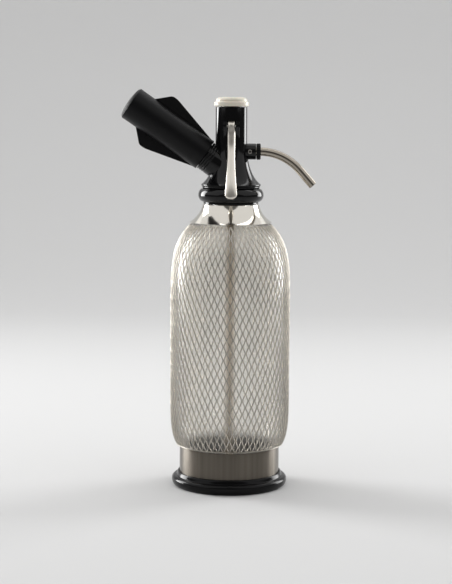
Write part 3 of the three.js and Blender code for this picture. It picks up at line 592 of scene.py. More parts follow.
def wind(
    name: str, radius: float, wire: float, turns: float, length: float, bottom: float, taper: float = 0.001,
) -> Piece:
    """Winds a round wire round Z, right-handed, with geometry nodes.

    Args:
        name: The object's name.
        radius: The radius of the wire's middle line.
        wire: The wire's own radius.
        turns: How many turns it has.
        length: The rise of its middle line.
        bottom: The height of its lower end.
        taper: The share of its length over which each end thins out.

    Returns:
        The wound wire, a plain mesh.
    """
    coil = mesh_from(name, lambda work: work.verts.new((0, 0, 0)))
    grow(coil, coil_tree(), {
        "Steps": 32, "Wire Sides": 10, "Turns": turns, "Radius": radius * MM, "Length": length * MM,
        "Wire": wire * MM, "Bottom": bottom * MM, "Taper": taper, "Finish": POLISHED_STEEL.material(),
    })
    shade(coil.data, 60.0)
    return coil


def coil_tree() -> bpy.types.NodeTree:
    """Builds the geometry nodes that wind a wire round Z.

    Returns:
        The tree, with its sizes as named inputs.
    """
    nodes, given = Nodes.group(
        "wound_wire", ("Steps", "Wire Sides"), ("Turns", "Radius", "Length", "Wire", "Bottom", "Taper"),
    )
    spiral = nodes.add("GeometryNodeCurveSpiral", {
        "Resolution": given["Steps"], "Rotations": given["Turns"], "Start Radius": given["Radius"],
        "End Radius": given["Radius"], "Height": given["Length"], "Reverse": True,
    })
    share = nodes.add("GeometryNodeSplineParameter").outputs["Factor"]
    to_end = nodes.math("MINIMUM", share, nodes.math("SUBTRACT", 1.0, share))
    thick = nodes.math("MAXIMUM", 0.1, nodes.math("DIVIDE", to_end, given["Taper"]))
    wire = nodes.skin(spiral.outputs["Curve"], given, Scale=nodes.math("MINIMUM", 1.0, thick))
    spot = nodes.add("ShaderNodeCombineXYZ", {"Z": given["Bottom"]}).outputs["Vector"]
    lift = nodes.add("GeometryNodeSetPosition", {"Geometry": wire, "Offset": spot})
    return nodes.close(lift.outputs["Geometry"], given)


@dataclass(frozen=True)
class Thread:
    """A right-handed thread's ridge, half sunk in the wall that it winds round."""

    radius: float
    height: float
    pitch: float
    turns: float
    run_out: float = 0.06

    def wound(self, floor: float) -> Piece:
        """The ridge about Z, with both ends run out; it starts one pitch above the floor."""
        length = self.pitch * self.turns
        return wind("thread", self.radius, self.height, self.turns, length, floor + self.pitch, self.run_out)


@dataclass(frozen=True)
class Extent:
    """A frame node's box, in millimetres."""

    low: Vector
    high: Vector

    @classmethod
    def of(cls, node: str) -> "Extent":
        """Reads a node's box from the frame."""
        low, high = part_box(node)
        return cls(low / MM, high / MM)

    @property
    def radius(self) -> float:
        """Half the box's width across X."""
        return (self.high.x - self.low.x) / 2

    @property
    def bottom(self) -> float:
        """The box's lowest height."""
        return self.low.z

    @property
    def top(self) -> float:
        """The box's highest height."""
        return self.high.z


# The bottle, its jacket and what holds them


@dataclass
class Foot:
    """The black base ring and the steel cup that stands in it."""

    bead_round: float = 3.2
    bead_top: float = 8.6
    crease: float = 0.2
    crease_width: float = 0.8
    lip: float = 1.2
    lip_lean: float = 0.5
    lip_height: float = 1.0
    floor: float = 3.0
    cup_wall: float = 0.8
    play: float = 0.3

    def build(self) -> None:
        """Builds and dresses both pieces."""
        ring, cup = Extent.of("base_ring"), Extent.of("foot_cup")
        bore = cup.radius + self.play
        middle = (ring.radius - self.bead_round, self.bead_top - self.bead_round)
        outline = [(0, 0)]
        outline += arc(middle, self.bead_round, middle[1], -90, 0, 16)
        outline += arc(middle, self.bead_round, self.bead_round, 0, 90, 16)[1:]
        outline += rounded([
            Corner(middle[0] - self.crease, self.bead_top),
            Corner(middle[0] - self.crease_width, self.bead_top + self.crease, 0.5),
            Corner(bore + self.lip + self.lip_lean, ring.top - self.lip_height, 0.9),
            Corner(bore + self.lip, ring.top, 0.8),
            Corner(bore, ring.top, 0.5),
            Corner(bore, self.floor),
            Corner(0, self.floor),
        ], steps=8)
        dress(turned("base_ring_moulding", outline, 160), FOOT_BLACK, Body.BOTTLE, "base_ring")
        wall = cup.radius - self.cup_wall
        outline = rounded([
            Corner(0, cup.bottom),
            Corner(cup.radius, cup.bottom, 0.6),
            Corner(cup.radius, cup.top, 0.3),
            Corner(wall, cup.top, 0.3),
            Corner(wall, cup.bottom + self.cup_wall, 0.4),
            Corner(0, cup.bottom + self.cup_wall),
        ])
        dress(turned("foot_cup_shell", outline, 160), BRUSHED_BAND, Body.BOTTLE, "foot_cup")


@dataclass
class Wall:
    """The bottle's outer wall, from its foot to the shoulder's top, which the jacket follows."""

    heel_height: float = 38.1
    shoulder_height: float = 63.4
    straight_height: float = 88.0
    foot_radius: float = 41.4
    body_radius: float = 49.0
    shoulder_radius: float = 31.7
    heel_shares: tuple[float, ...] = (0.75, 0.09, 1, 0.4)
    shoulder_shares: tuple[float, ...] = (0, 0.58, 0.155, 0.775)
    cup_top: float = field(default_factory=lambda: Extent.of("foot_cup").top)

    @property
    def heel_top(self) -> float:
        """Where the straight wall starts."""
        return self.cup_top + self.heel_height

    @property
    def straight_top(self) -> float:
        """Where the shoulder starts."""
        return self.heel_top + self.straight_height

    @property
    def shoulder_top(self) -> float:
        """Where the shoulder meets the neck's slope."""
        return self.straight_top + self.shoulder_height

    def outline(self, inset: float = 0.0) -> list[Point]:
        """Points of the wall from the foot to the shoulder's top, drawn in by an inset."""
        heel = cubic(
            (self.foot_radius - inset, self.cup_top),
            (self.body_radius - inset, self.heel_top),
            self.heel_shares,
        )
        shoulder = cubic(
            (self.body_radius - inset, self.straight_top),
            (self.shoulder_radius - inset, self.shoulder_top - inset / 2),
            self.shoulder_shares,
        )
        return heel + shoulder

    def offset(self, out: float) -> list[Point]:
        """Points of a line that runs at one distance outside the wall."""
        track = [Vector(point) for point in self.outline()]
        return [(spot.x + run.y * out, spot.y - run.x * out) for spot, run in zip(track, directions(track))]


@dataclass
class Bottle:
    """The glass bottle."""

    wall: Wall
    thickness: float = 4.0
    floor: float = 6.0
    heel_round: float = 5.0
    shelf_radius: float = 20.6
    neck_radius: float = 17.4
    neck_bore: float = 12.5
    neck_height: float = 17.5
    thread: Thread = Thread(17.4, 1.0, 4.5, 1.5)
    slope_shares: tuple[float, ...] = (0.43, 0.25, 0.77, 0.58)

    def build(self) -> None:
        """Builds the glass as one wall with its thick foot."""
        glass = Extent.of("glass_bottle")
        wall = self.wall
        shelf = glass.top - self.neck_height
        outer = rounded([
            Corner(0, glass.bottom),
            Corner(wall.foot_radius, glass.bottom, self.heel_round),
            Corner(wall.foot_radius, wall.cup_top),
        ], 8)
        start = (wall.shoulder_radius, wall.shoulder_top)
        slope = cubic(start, (self.shelf_radius, shelf), self.slope_shares, 8)
        neck = rounded([
            Corner(self.shelf_radius, shelf),
            Corner(self.neck_radius, shelf, 0.8),
            Corner(self.neck_radius, glass.top, 0.8),
            Corner(self.neck_bore, glass.top, 0.8),
            Corner(self.neck_bore, shelf - self.thickness),
        ])
        inner = list(reversed(wall.outline(self.thickness)))
        foot = rounded([
            Corner(wall.foot_radius - self.thickness, wall.cup_top),
            Corner(wall.foot_radius - self.thickness, glass.bottom + self.floor, self.heel_round),
            Corner(0, glass.bottom + self.floor),
        ], 8)
        outline = outer + wall.outline() + slope + neck + inner + foot
        bottle = turned("glass_bottle_blown", outline, 128)
        carve(bottle, self.thread.wound(shelf), "UNION")
        shade(bottle.data)
        dress(bottle, CLEAR_GLASS, Body.BOTTLE, "glass_bottle")


@dataclass
class Jacket:
    """The wire-mesh jacket: pairs of zigzag wires that meet at staggered knots, and its rolled rim."""

    wall: Wall
    columns: int = 60
    half_rows: int = 34
    steps: int = 4
    wire: float = 0.48
    wire_sides: int = 6
    stand_off: float = 1.35
    start: float = 3.2
    end_clear: float = 1.2
    smoothness: float = 0.55
    lap: float = 0.8
    rim_wire: float = 0.75
    rim_flatness: float = 0.8

    def track(self) -> list[Point]:
        """The jacket's middle line, from its rim to its top."""
        points = [Vector(point) for point in self.wall.offset(self.stand_off)]
        runs = runs_of(points)
        end = runs[-1] - self.end_clear
        return [tuple(point) for point, run in zip(points, runs) if self.start <= run <= end]

    def build(self) -> None:
        """Builds the lattice with geometry nodes, then the rim."""
        track = self.track()
        line = mesh_from("jacket_line", lambda work: self.chain(work, track))
        grow(line, self.tree(), {
            "Columns": self.columns, "Half Rows": self.half_rows, "Steps": self.steps,
            "Wire": self.wire * MM, "Wire Sides": self.wire_sides, "Finish": MESH_STEEL.material(),
        })
        line.name = "jacket_mesh"
        shade(line.data, 80.0)
        dress(line, MESH_STEEL, Body.BOTTLE, "wire_mesh")
        low = track[0]
        outline = arc(low, self.rim_wire, self.rim_wire * self.rim_flatness, 0, 360, 12)[:-1]
        dress(turned("jacket_rim", outline, 160, closed=True), RIM_STEEL, Body.BOTTLE)

    @staticmethod
    def chain(work: Work, track: Sequence[Point]) -> None:
        """Draws the jacket's line as edges in the XZ plane."""
        spots = [work.verts.new((r, 0, z)) for r, z in track]
        for before, after in zip(spots, spots[1:]):
            work.edges.new((before, after))

    def tree(self) -> bpy.types.NodeTree:
        """Builds the lattice's geometry nodes.

        Returns:
            The tree, with its sizes as named inputs.
        """
        nodes, given = Nodes.group("wire_lattice", ("Columns", "Half Rows", "Steps", "Wire Sides"), ("Wire",))
        curve = nodes.add("GeometryNodeMeshToCurve", {"Mesh": given["Geometry"]}).outputs["Curve"]
        count = nodes.math("ADD", nodes.math("MULTIPLY", given["Half Rows"], given["Steps"]), 1)
        line = nodes.add("GeometryNodeResampleCurve", {"Curve": curve, "Count": count}).outputs["Curve"]
        pair = nodes.add("GeometryNodeJoinGeometry")
        for side in (1, -1):
            nodes.feed(pair, {"Geometry": self.zigzag(nodes, given, line, side)})
        return nodes.close(self.around(nodes, given, pair.outputs["Geometry"]), given)

    def zigzag(self, nodes: Nodes, given: Given, line: Socket, side: int) -> Socket:
        """Bends the line into one zigzag wire and gives it its thickness.

        Args:
            nodes: The tree's builder.
            given: The tree's inputs.
            line: The resampled line.
            side: 1 or -1, for the wire on either side of a column of knots.

        Returns:
            The wire's mesh.
        """
        share = nodes.add("GeometryNodeSplineParameter").outputs["Factor"]
        sharp = nodes.math("PINGPONG", nodes.math("MULTIPLY", share, given["Half Rows"]), 1.0)
        smooth = nodes.math("MULTIPLY", nodes.math("MULTIPLY", sharp, sharp),
                            nodes.math("SUBTRACT", 3.0, nodes.math("MULTIPLY", sharp, 2.0)))
        swing = nodes.math("ADD", nodes.math("MULTIPLY", sharp, 1 - self.smoothness),
                           nodes.math("MULTIPLY", smooth, self.smoothness))
        position = nodes.add("GeometryNodeInputPosition").outputs["Position"]
        away = nodes.add("ShaderNodeSeparateXYZ", {"Vector": position}).outputs["X"]
        lap = nodes.math("DIVIDE", nodes.math("MULTIPLY", given["Wire"], self.lap), away)
        half = nodes.math("DIVIDE", math.pi, given["Columns"])
        room = nodes.math("SUBTRACT", half, nodes.math("MULTIPLY", lap, 2.0))
        out = nodes.math("ADD", lap, nodes.math("MULTIPLY", swing, room))
        feeds = {"Vector": position, "Angle": nodes.math("MULTIPLY", out, float(side))}
        turn = nodes.add("ShaderNodeVectorRotate", feeds, rotation_type="Z_AXIS")
        bend = nodes.add("GeometryNodeSetPosition", {"Geometry": line, "Position": turn.outputs["Vector"]})
        return nodes.skin(bend.outputs["Geometry"], given)

    @staticmethod
    def around(nodes: Nodes, given: Given, pair: Socket) -> Socket:
        """Repeats the wires round the axis.

        Args:
            nodes: The tree's builder.
            given: The tree's inputs.
            pair: The pair of wires.

        Returns:
            The instances.
        """
        points = nodes.add("GeometryNodePoints", {"Count": given["Columns"]}).outputs[0]
        turn = nodes.add("ShaderNodeCombineXYZ", {"Z": nodes.angle(given["Columns"])}).outputs["Vector"]
        rotation = nodes.add("FunctionNodeEulerToRotation", {"Euler": turn}).outputs["Rotation"]
        feeds = {"Points": points, "Instance": pair, "Rotation": rotation}
        return nodes.add("GeometryNodeInstanceOnPoints", feeds).outputs["Instances"]


@dataclass
class Collar:
    """The polished steel cone between the jacket and the head."""

    foot_radius: float = 34.8
    top_radius: float = 23.8
    bore: float = 18.9
    wall: float = 0.8
    shares: tuple[float, ...] = (0.5, 0.25, 0.84, 0.52)

    def build(self) -> None:
        """Builds the cone with its rolled foot and its top flange."""
        collar = Extent.of("neck_collar")
        outer = cubic((self.foot_radius, collar.bottom), (self.top_radius, collar.top), self.shares)
        inner = cubic(
            (self.foot_radius - self.wall, collar.bottom),
            (self.top_radius - self.wall, collar.top - self.wall),
            self.shares,
        )
        flange = [(self.bore, collar.top), (self.bore, collar.top - self.wall)]
        outline = outer + flange + list(reversed(inner))
        shell = turned("neck_collar_shell", outline, 160, closed=True)
        dress(shell, POLISHED_STEEL, Body.BOTTLE, "neck_collar")


# The head


@dataclass(frozen=True)
class Lean:
    """The charger holder's axis."""

    angle: float = math.radians(34.7)
    height: float = 266.3

    @property
    def matrix(self) -> Matrix:
        """Takes a piece made about Z to the holder's axis."""
        return turned_over((0, 0, self.height), self.angle - math.pi / 2)


@dataclass
class Head:
    """The black head: bulge, ring, flare, tower, spout boss, holder boss and the lever's ears."""

    lean: Lean
    lip_radius: float = 23.2
    lip_height: float = 1.6
    bulge_radius: float = 27.6
    bulge_depth: float = 4.8
    bulge_half: float = 5.9
    ring_radius: float = 24.5
    ring_depth: float = 1.2
    ring_half: float = 0.9
    flare_radius: float = 25.2
    flare_foot: float = 1.2
    flare_height: float = 32.0
    flare_shares: tuple[float, ...] = (0.48, 0.13, 0.97, 0.44)
    tower_radius: float = 13.3
    skirt_bore: float = 18.9
    skirt_depth: float = 19.7
    cap_bore: float = 9.7
    cap_bore_depth: float = 8.8
    chamber_radius: float = 7.6
    chamber_depth: float = 21.8
    boss_radius: float = 12.8
    boss_end: float = 26.5
    spigot_radius: float = 10.0
    spigot_end: float = 37.7
    boss_ribs: int = 3
    rib_pitch: float = 2.2
    rib_cut: float = 0.5
    well_radius: float = 5.0
    well_depth: float = 9.0
    spigot_thread: Thread = Thread(10.0, 0.6, 2.0, 3.0)
    spout_height: float = 284.6
    spout_boss_radius: float = 6.8
    spout_boss_end: float = 20.9
    spout_bore: float = 3.9
    spout_bore_start: float = 11.2
    pivot_drop: float = 15.9
    pivot_reach: float = 0.9
    pivot_radius: float = 1.2
    pivot_play: float = 0.15
    ear_radius: float = 4.2
    ear_thickness: float = 3.3
    ear_round: float = 0.9
    ear_drop: float = 10.5
    ear_bite: float = 2.0
    pocket_half: float = 3.6
    pocket_drop: float = 7.4
    pocket_rise: float = 4.4

    def __post_init__(self) -> None:
        """Reads the head's lowest and highest points from the frame."""
        extent = Extent.of("head_body")
        self.bottom, self.top = extent.bottom, extent.top
        self.bulge_middle = self.bottom + self.lip_height + self.bulge_half
        self.ring_middle = self.bulge_middle + self.bulge_half + self.ring_half
        self.flare_bottom = self.ring_middle + self.ring_half + self.flare_foot
        self.flare_top = self.flare_bottom + self.flare_height
        self.pivot_height = self.top - self.pivot_drop
        self.pivot_offset = self.tower_radius + self.pivot_reach

    def flare(self) -> list[Point]:
        """Points of the flare, from its foot to the tower."""
        return cubic(
            (self.flare_radius, self.flare_bottom), (self.tower_radius, self.flare_top), self.flare_shares,
        )

    def reach(self, height: float) -> float:
        """The head's radius at a height, which the lever keeps clear of."""
        if height >= self.flare_top:
            return self.tower_radius
        if height < self.flare_bottom:
            return self.bulge_radius
        points = self.flare()
        return min(points, key=lambda point: abs(point[1] - height))[0]

    def outline(self) -> list[Point]:
        """The turned outline, with the skirt's bore and the tower's bore."""
        groove = self.bulge_radius - self.bulge_depth
        ring = (self.ring_radius - self.ring_depth, self.ring_middle)
        outer = rounded([
            Corner(self.skirt_bore, self.bottom),
            Corner(self.lip_radius, self.bottom, 0.5),
            Corner(self.lip_radius, self.bottom + self.lip_height, 0.2),
            Corner(groove, self.bottom + self.lip_height),
        ])
        outer += arc((groove, self.bulge_middle), self.bulge_depth, self.bulge_half, -90, 90, 20)
        outer += arc(ring, self.ring_depth, self.ring_half, -90, 90, 10)
        outer += arc(
            (self.flare_radius - self.flare_foot / 2, self.flare_bottom - self.flare_foot / 2),
            self.flare_foot / 2, self.flare_foot / 2, -90, 0, 5,
        )
        outer += self.flare()
        rim = rounded([
            Corner(self.tower_radius, self.flare_top),
            Corner(self.tower_radius, self.top, 0.5),
            Corner(self.cap_bore, self.top, 0.3),
            Corner(self.cap_bore, self.top - self.cap_bore_depth),
            Corner(self.chamber_radius, self.top - self.cap_bore_depth),
            Corner(self.chamber_radius, self.top - self.chamber_depth),
            Corner(0, self.top - self.chamber_depth),
        ])
        seat = self.bottom + self.skirt_depth
        return outer + rim + [(0, seat), (self.skirt_bore, seat)]

    def build(self) -> None:
        """Builds the head, with its bosses joined and its pocket cut."""
        head = mesh_from("head_moulding", lambda work: spin(work, self.outline(), 128, closed=True))
        ridge = place(self.spigot_thread.wound(self.boss_end), self.lean.matrix)
        for tool in (self.spout_boss(), self.holder_boss(), ridge, *self.ears()):
            carve(head, tool, "UNION")
        for tool in (self.skirt_cut(), self.pocket(), self.spout_cut(), self.holder_cut(), self.pin_hole()):
            carve(head, tool, "DIFFERENCE")
        shade(head.data, 30.0)
        dress(head, GLOSS_BLACK, Body.HEAD, "head_body")
        self.pin()

    def skirt_cut(self) -> Piece:
        """The bore that the bottle's neck goes up into, which the holder's boss would else cross."""
        return rod("skirt_cut", self.skirt_bore, self.bottom - OVERRUN, self.bottom + self.skirt_depth, 128)

    def spout_boss(self) -> Piece:
        """The round boss that the spout leaves."""
        outline = rounded([
            Corner(0, 0), Corner(self.spout_boss_radius, 0),
            Corner(self.spout_boss_radius, self.spout_boss_end, 0.5), Corner(0, self.spout_boss_end),
        ])
        return place(turned("spout_boss", outline, 64), self.spout_frame)

    @property
    def spout_frame(self) -> Matrix:
        """Takes a piece made about Z to the spout boss's axis."""
        return turned_over((0, 0, self.spout_height))

    @property
    def pivot_frame(self) -> Matrix:
        """Takes a piece made about Z to the lever's pivot."""
        return turned_over((0, -self.pivot_offset, self.pivot_height))

    def spout_cut(self) -> Piece:
        """The hole that the spout goes into."""
        cut = rod("spout_cut", self.spout_bore, self.spout_bore_start, self.spout_boss_end + OVERRUN, 48)
        return place(cut, self.spout_frame)

    def holder_boss(self) -> Piece:
        """The leaning boss with its fine grooves, and the spigot on its end."""
        outline = [Corner(0, 0), Corner(self.boss_radius, 0)]
        for rib in range(self.boss_ribs):
            low = self.boss_end - self.rib_pitch * (self.boss_ribs - rib)
            outline += [
                Corner(self.boss_radius, low, 0.3),
                Corner(self.boss_radius - self.rib_cut, low + self.rib_cut, 0.3),
                Corner(self.boss_radius, low + 2 * self.rib_cut, 0.3),
            ]
        outline += [
            Corner(self.boss_radius, self.boss_end, 0.4), Corner(self.spigot_radius, self.boss_end, 0.3),
            Corner(self.spigot_radius, self.spigot_end, 0.5), Corner(0, self.spigot_end),
        ]
        return place(turned("holder_boss", rounded(outline), 96), self.lean.matrix)

    def holder_cut(self) -> Piece:
        """The well in the spigot's end."""
        floor = self.spigot_end - self.well_depth
        cut = rod("holder_cut", self.well_radius, floor, self.spigot_end + OVERRUN, 48)
        return place(cut, self.lean.matrix)

    def ears(self) -> list[Piece]:
        """The two rounded ears that hold the pivot pin."""
        outline = [(0.0, self.pivot_height + self.ear_radius)]
        outline += arc((-self.pivot_offset, self.pivot_height), self.ear_radius, self.ear_radius, 90, 200, 20)
        outline += [(-self.tower_radius + self.ear_bite, self.pivot_height - self.ear_drop),
                    (0.0, self.pivot_height - self.ear_drop)]
        return [self.ear(outline, side) for side in (1, -1)]

    def ear(self, outline: Sequence[Point], side: int) -> Piece:
        """One ear, with its outer edge rounded."""
        inner = side * self.pocket_half
        outer = side * (self.pocket_half + self.ear_thickness)

        def build(work: Work) -> None:
            face = loft(work, [[(x, y, z) for y, z in outline] for x in (inner, outer)])[1]
            bmesh.ops.bevel(
                work, geom=list(face.edges), offset=self.ear_round, segments=4, profile=0.5, affect="EDGES",
            )

        return mesh_from("ear", build)

    def pocket(self) -> Piece:
        """The slot that the lever's head stands in."""
        front = -self.pivot_offset - self.ear_radius - OVERRUN
        lows = (-self.pocket_half, front, self.pivot_height - self.pocket_drop)
        highs = (self.pocket_half, 0, self.pivot_height + self.pocket_rise)
        return mesh_from("pocket", lambda work: block(work, lows, highs))

    def pin_hole(self) -> Piece:
        """The hole across both ears."""
        reach = self.pocket_half + self.ear_thickness + OVERRUN / 2
        hole = rod("pin_hole", self.pivot_radius + self.pivot_play, -reach, reach, 32)
        return place(hole, self.pivot_frame)

    def pin(self) -> None:
        """The lever's pivot pin, with domed ends."""
        half = Extent.of("pivot_pin").high.x
        outline = rounded([
            Corner(0, -half), Corner(self.pivot_radius, -half, 0.4), Corner(self.pivot_radius, half, 0.4),
            Corner(0, half),
        ])
        pin = place(turned("pivot_pin_turned", outline, 32), self.pivot_frame)
        dress(pin, POLISHED_STEEL, Body.HEAD, "pivot_pin")


def block(work: Work, lows: Sequence[float], highs: Sequence[float]) -> None:
    """Adds a box between two corners."""
    low, high = Vector(lows), Vector(highs)
    made = bmesh.ops.create_cube(work, size=1.0)["verts"]
    for vert in made:
        vert.co = Vector([low[i] + (vert.co[i] + 0.5) * (high[i] - low[i]) for i in range(3)])


@dataclass
class Spout:
    """The curved tube, the ribbed ring round it and its set screw."""

    head: Head
    radius: float = 3.6
    wall: float = 0.8
    start: float = 11.5
    straight: float = 24.0
    bend: float = 45.0
    bend_angle: float = math.radians(49)
    tail: float = 17.0
    sides: int = 48
    steps: int = 60
    lip: float = 0.25
    play: float = 0.3
    ring_rib: float = 0.35
    ribs: int = 24
    rib_low: float = 0.3
    rib_high: float = 0.4
    screw_radius: float = 1.9
    screw_crown: float = 0.1
    screw_socket: float = 0.9
    screw_socket_depth: float = 1.0
    screw_back: float = 2.4

    def middle(self, run: float) -> tuple[Vector, float]:
        """The centre line at one length along it, and its slope downwards."""
        lead = self.straight - self.start
        if run <= lead:
            return Vector((self.start + run, 0, self.head.spout_height)), 0.0
        angle = min((run - lead) / self.bend, self.bend_angle)
        left = max(0.0, run - lead - self.bend * self.bend_angle)
        return Vector((
            self.straight + self.bend * math.sin(angle) + left * math.cos(angle),
            0,
            self.head.spout_height - self.bend * (1 - math.cos(angle)) - left * math.sin(angle),
        )), angle

    def build(self) -> None:
        """Builds the tube, the ring and the screw."""
        dress(mesh_from("spout_pipe", self.pipe), SPOUT_STEEL, Body.HEAD, "spout_tube")
        self.ring()
        self.screw()

    def pipe(self, work: Work) -> None:
        """Skins the tube outside, over its lip and back inside."""
        length = self.straight - self.start + self.bend * self.bend_angle + self.tail
        inner = self.radius - self.wall
        runs = [length * step / self.steps for step in range(self.steps)]
        stations = [(run, self.radius) for run in runs]
        stations += [(length - self.lip, self.radius), (length, self.radius - self.lip),
                     (length, inner + self.lip), (length - self.lip, inner)]
        stations += [(run, inner) for run in reversed(runs)]
        rings = []
        for run, radius in stations:
            centre, angle = self.middle(run)
            up, side = Vector((math.sin(angle), 0, math.cos(angle))), Vector((0, 1, 0))
            rings.append([
                work.verts.new(centre + (up * math.cos(turn) + side * math.sin(turn)) * radius)
                for turn in (TAU * index / self.sides for index in range(self.sides))
            ])
        bridge(work, rings, closed=True)

    def ring(self) -> None:
        """The ring on the boss, with its ribs made by geometry nodes."""
        extent = Extent.of("spout_ring")
        low, high = extent.low.x, extent.high.x
        core = self.head.spout_boss_radius - self.ring_rib
        bore = self.radius + self.play
        outline = rounded([
            Corner(bore, low), Corner(core, low, 0.4), Corner(core, high, 0.5), Corner(bore, high, 0.3),
            Corner(bore, low),
        ])[:-1]
        ring = turned("spout_ring_ribbed", outline, 96, closed=True)
        grow(ring, rib_tree(), {
            "Ribs": self.ribs, "Radius": core * MM, "Height": self.ring_rib * MM,
            "Low": (low + self.rib_low) * MM, "High": (high - self.rib_high) * MM,
            "Finish": SATIN_BLACK.material(),
        })
        shade(ring.data)
        place(ring, self.head.spout_frame)
        dress(ring, SATIN_BLACK, Body.HEAD, "spout_ring")

    def screw(self) -> None:
        """The set screw on the boss's front, with a six-sided socket in its head."""
        top = self.head.spout_boss_radius
        inner = self.radius + self.play
        outline = rounded([
            Corner(0, inner), Corner(self.screw_radius, inner), Corner(self.screw_radius, top, 0.5),
            Corner(0, top + self.screw_crown),
        ])
        screw = turned("set_screw_turned", outline, 32)
        depth = self.screw_socket_depth
        carve(screw, rod("socket", self.screw_socket, top - depth, top + depth, 6), "DIFFERENCE")
        shade(screw.data)
        spot = (self.head.tower_radius + self.screw_back, 0, self.head.spout_height)
        place(screw, turned_over(spot, axis="X"))
        dress(screw, SCREW_STEEL, Body.HEAD, "spout_set_screw")


def rib_tree() -> bpy.types.NodeTree:
    """Builds the geometry nodes that set ribs round a ring about Z.

    Returns:
        The tree, with its sizes as named inputs.
    """
    nodes, given = Nodes.group("ring_ribs", ("Ribs",), ("Radius", "Height", "Low", "High"))
    depth = nodes.math("SUBTRACT", given["High"], given["Low"])
    rib = nodes.add("GeometryNodeMeshCylinder", {"Vertices": 8, "Radius": given["Height"], "Depth": depth})
    angle = nodes.angle(given["Ribs"])
    spot = nodes.add("ShaderNodeCombineXYZ", {
        "X": nodes.math("MULTIPLY", nodes.math("COSINE", angle), given["Radius"]),
        "Y": nodes.math("MULTIPLY", nodes.math("SINE", angle), given["Radius"]),
        "Z": nodes.math("MULTIPLY", nodes.math("ADD", given["Low"], given["High"]), 0.5),
    })
    points = nodes.add("GeometryNodePoints", {"Count": given["Ribs"], "Position": spot.outputs["Vector"]})
    feeds = {"Points": points.outputs[0], "Instance": rib.outputs["Mesh"]}
    spread = nodes.add("GeometryNodeInstanceOnPoints", feeds)
    joined = nodes.add("GeometryNodeJoinGeometry")
    for part in (given["Geometry"], spread.outputs["Instances"]):
        nodes.feed(joined, {"Geometry": part})
    return nodes.close(joined.outputs["Geometry"], given)


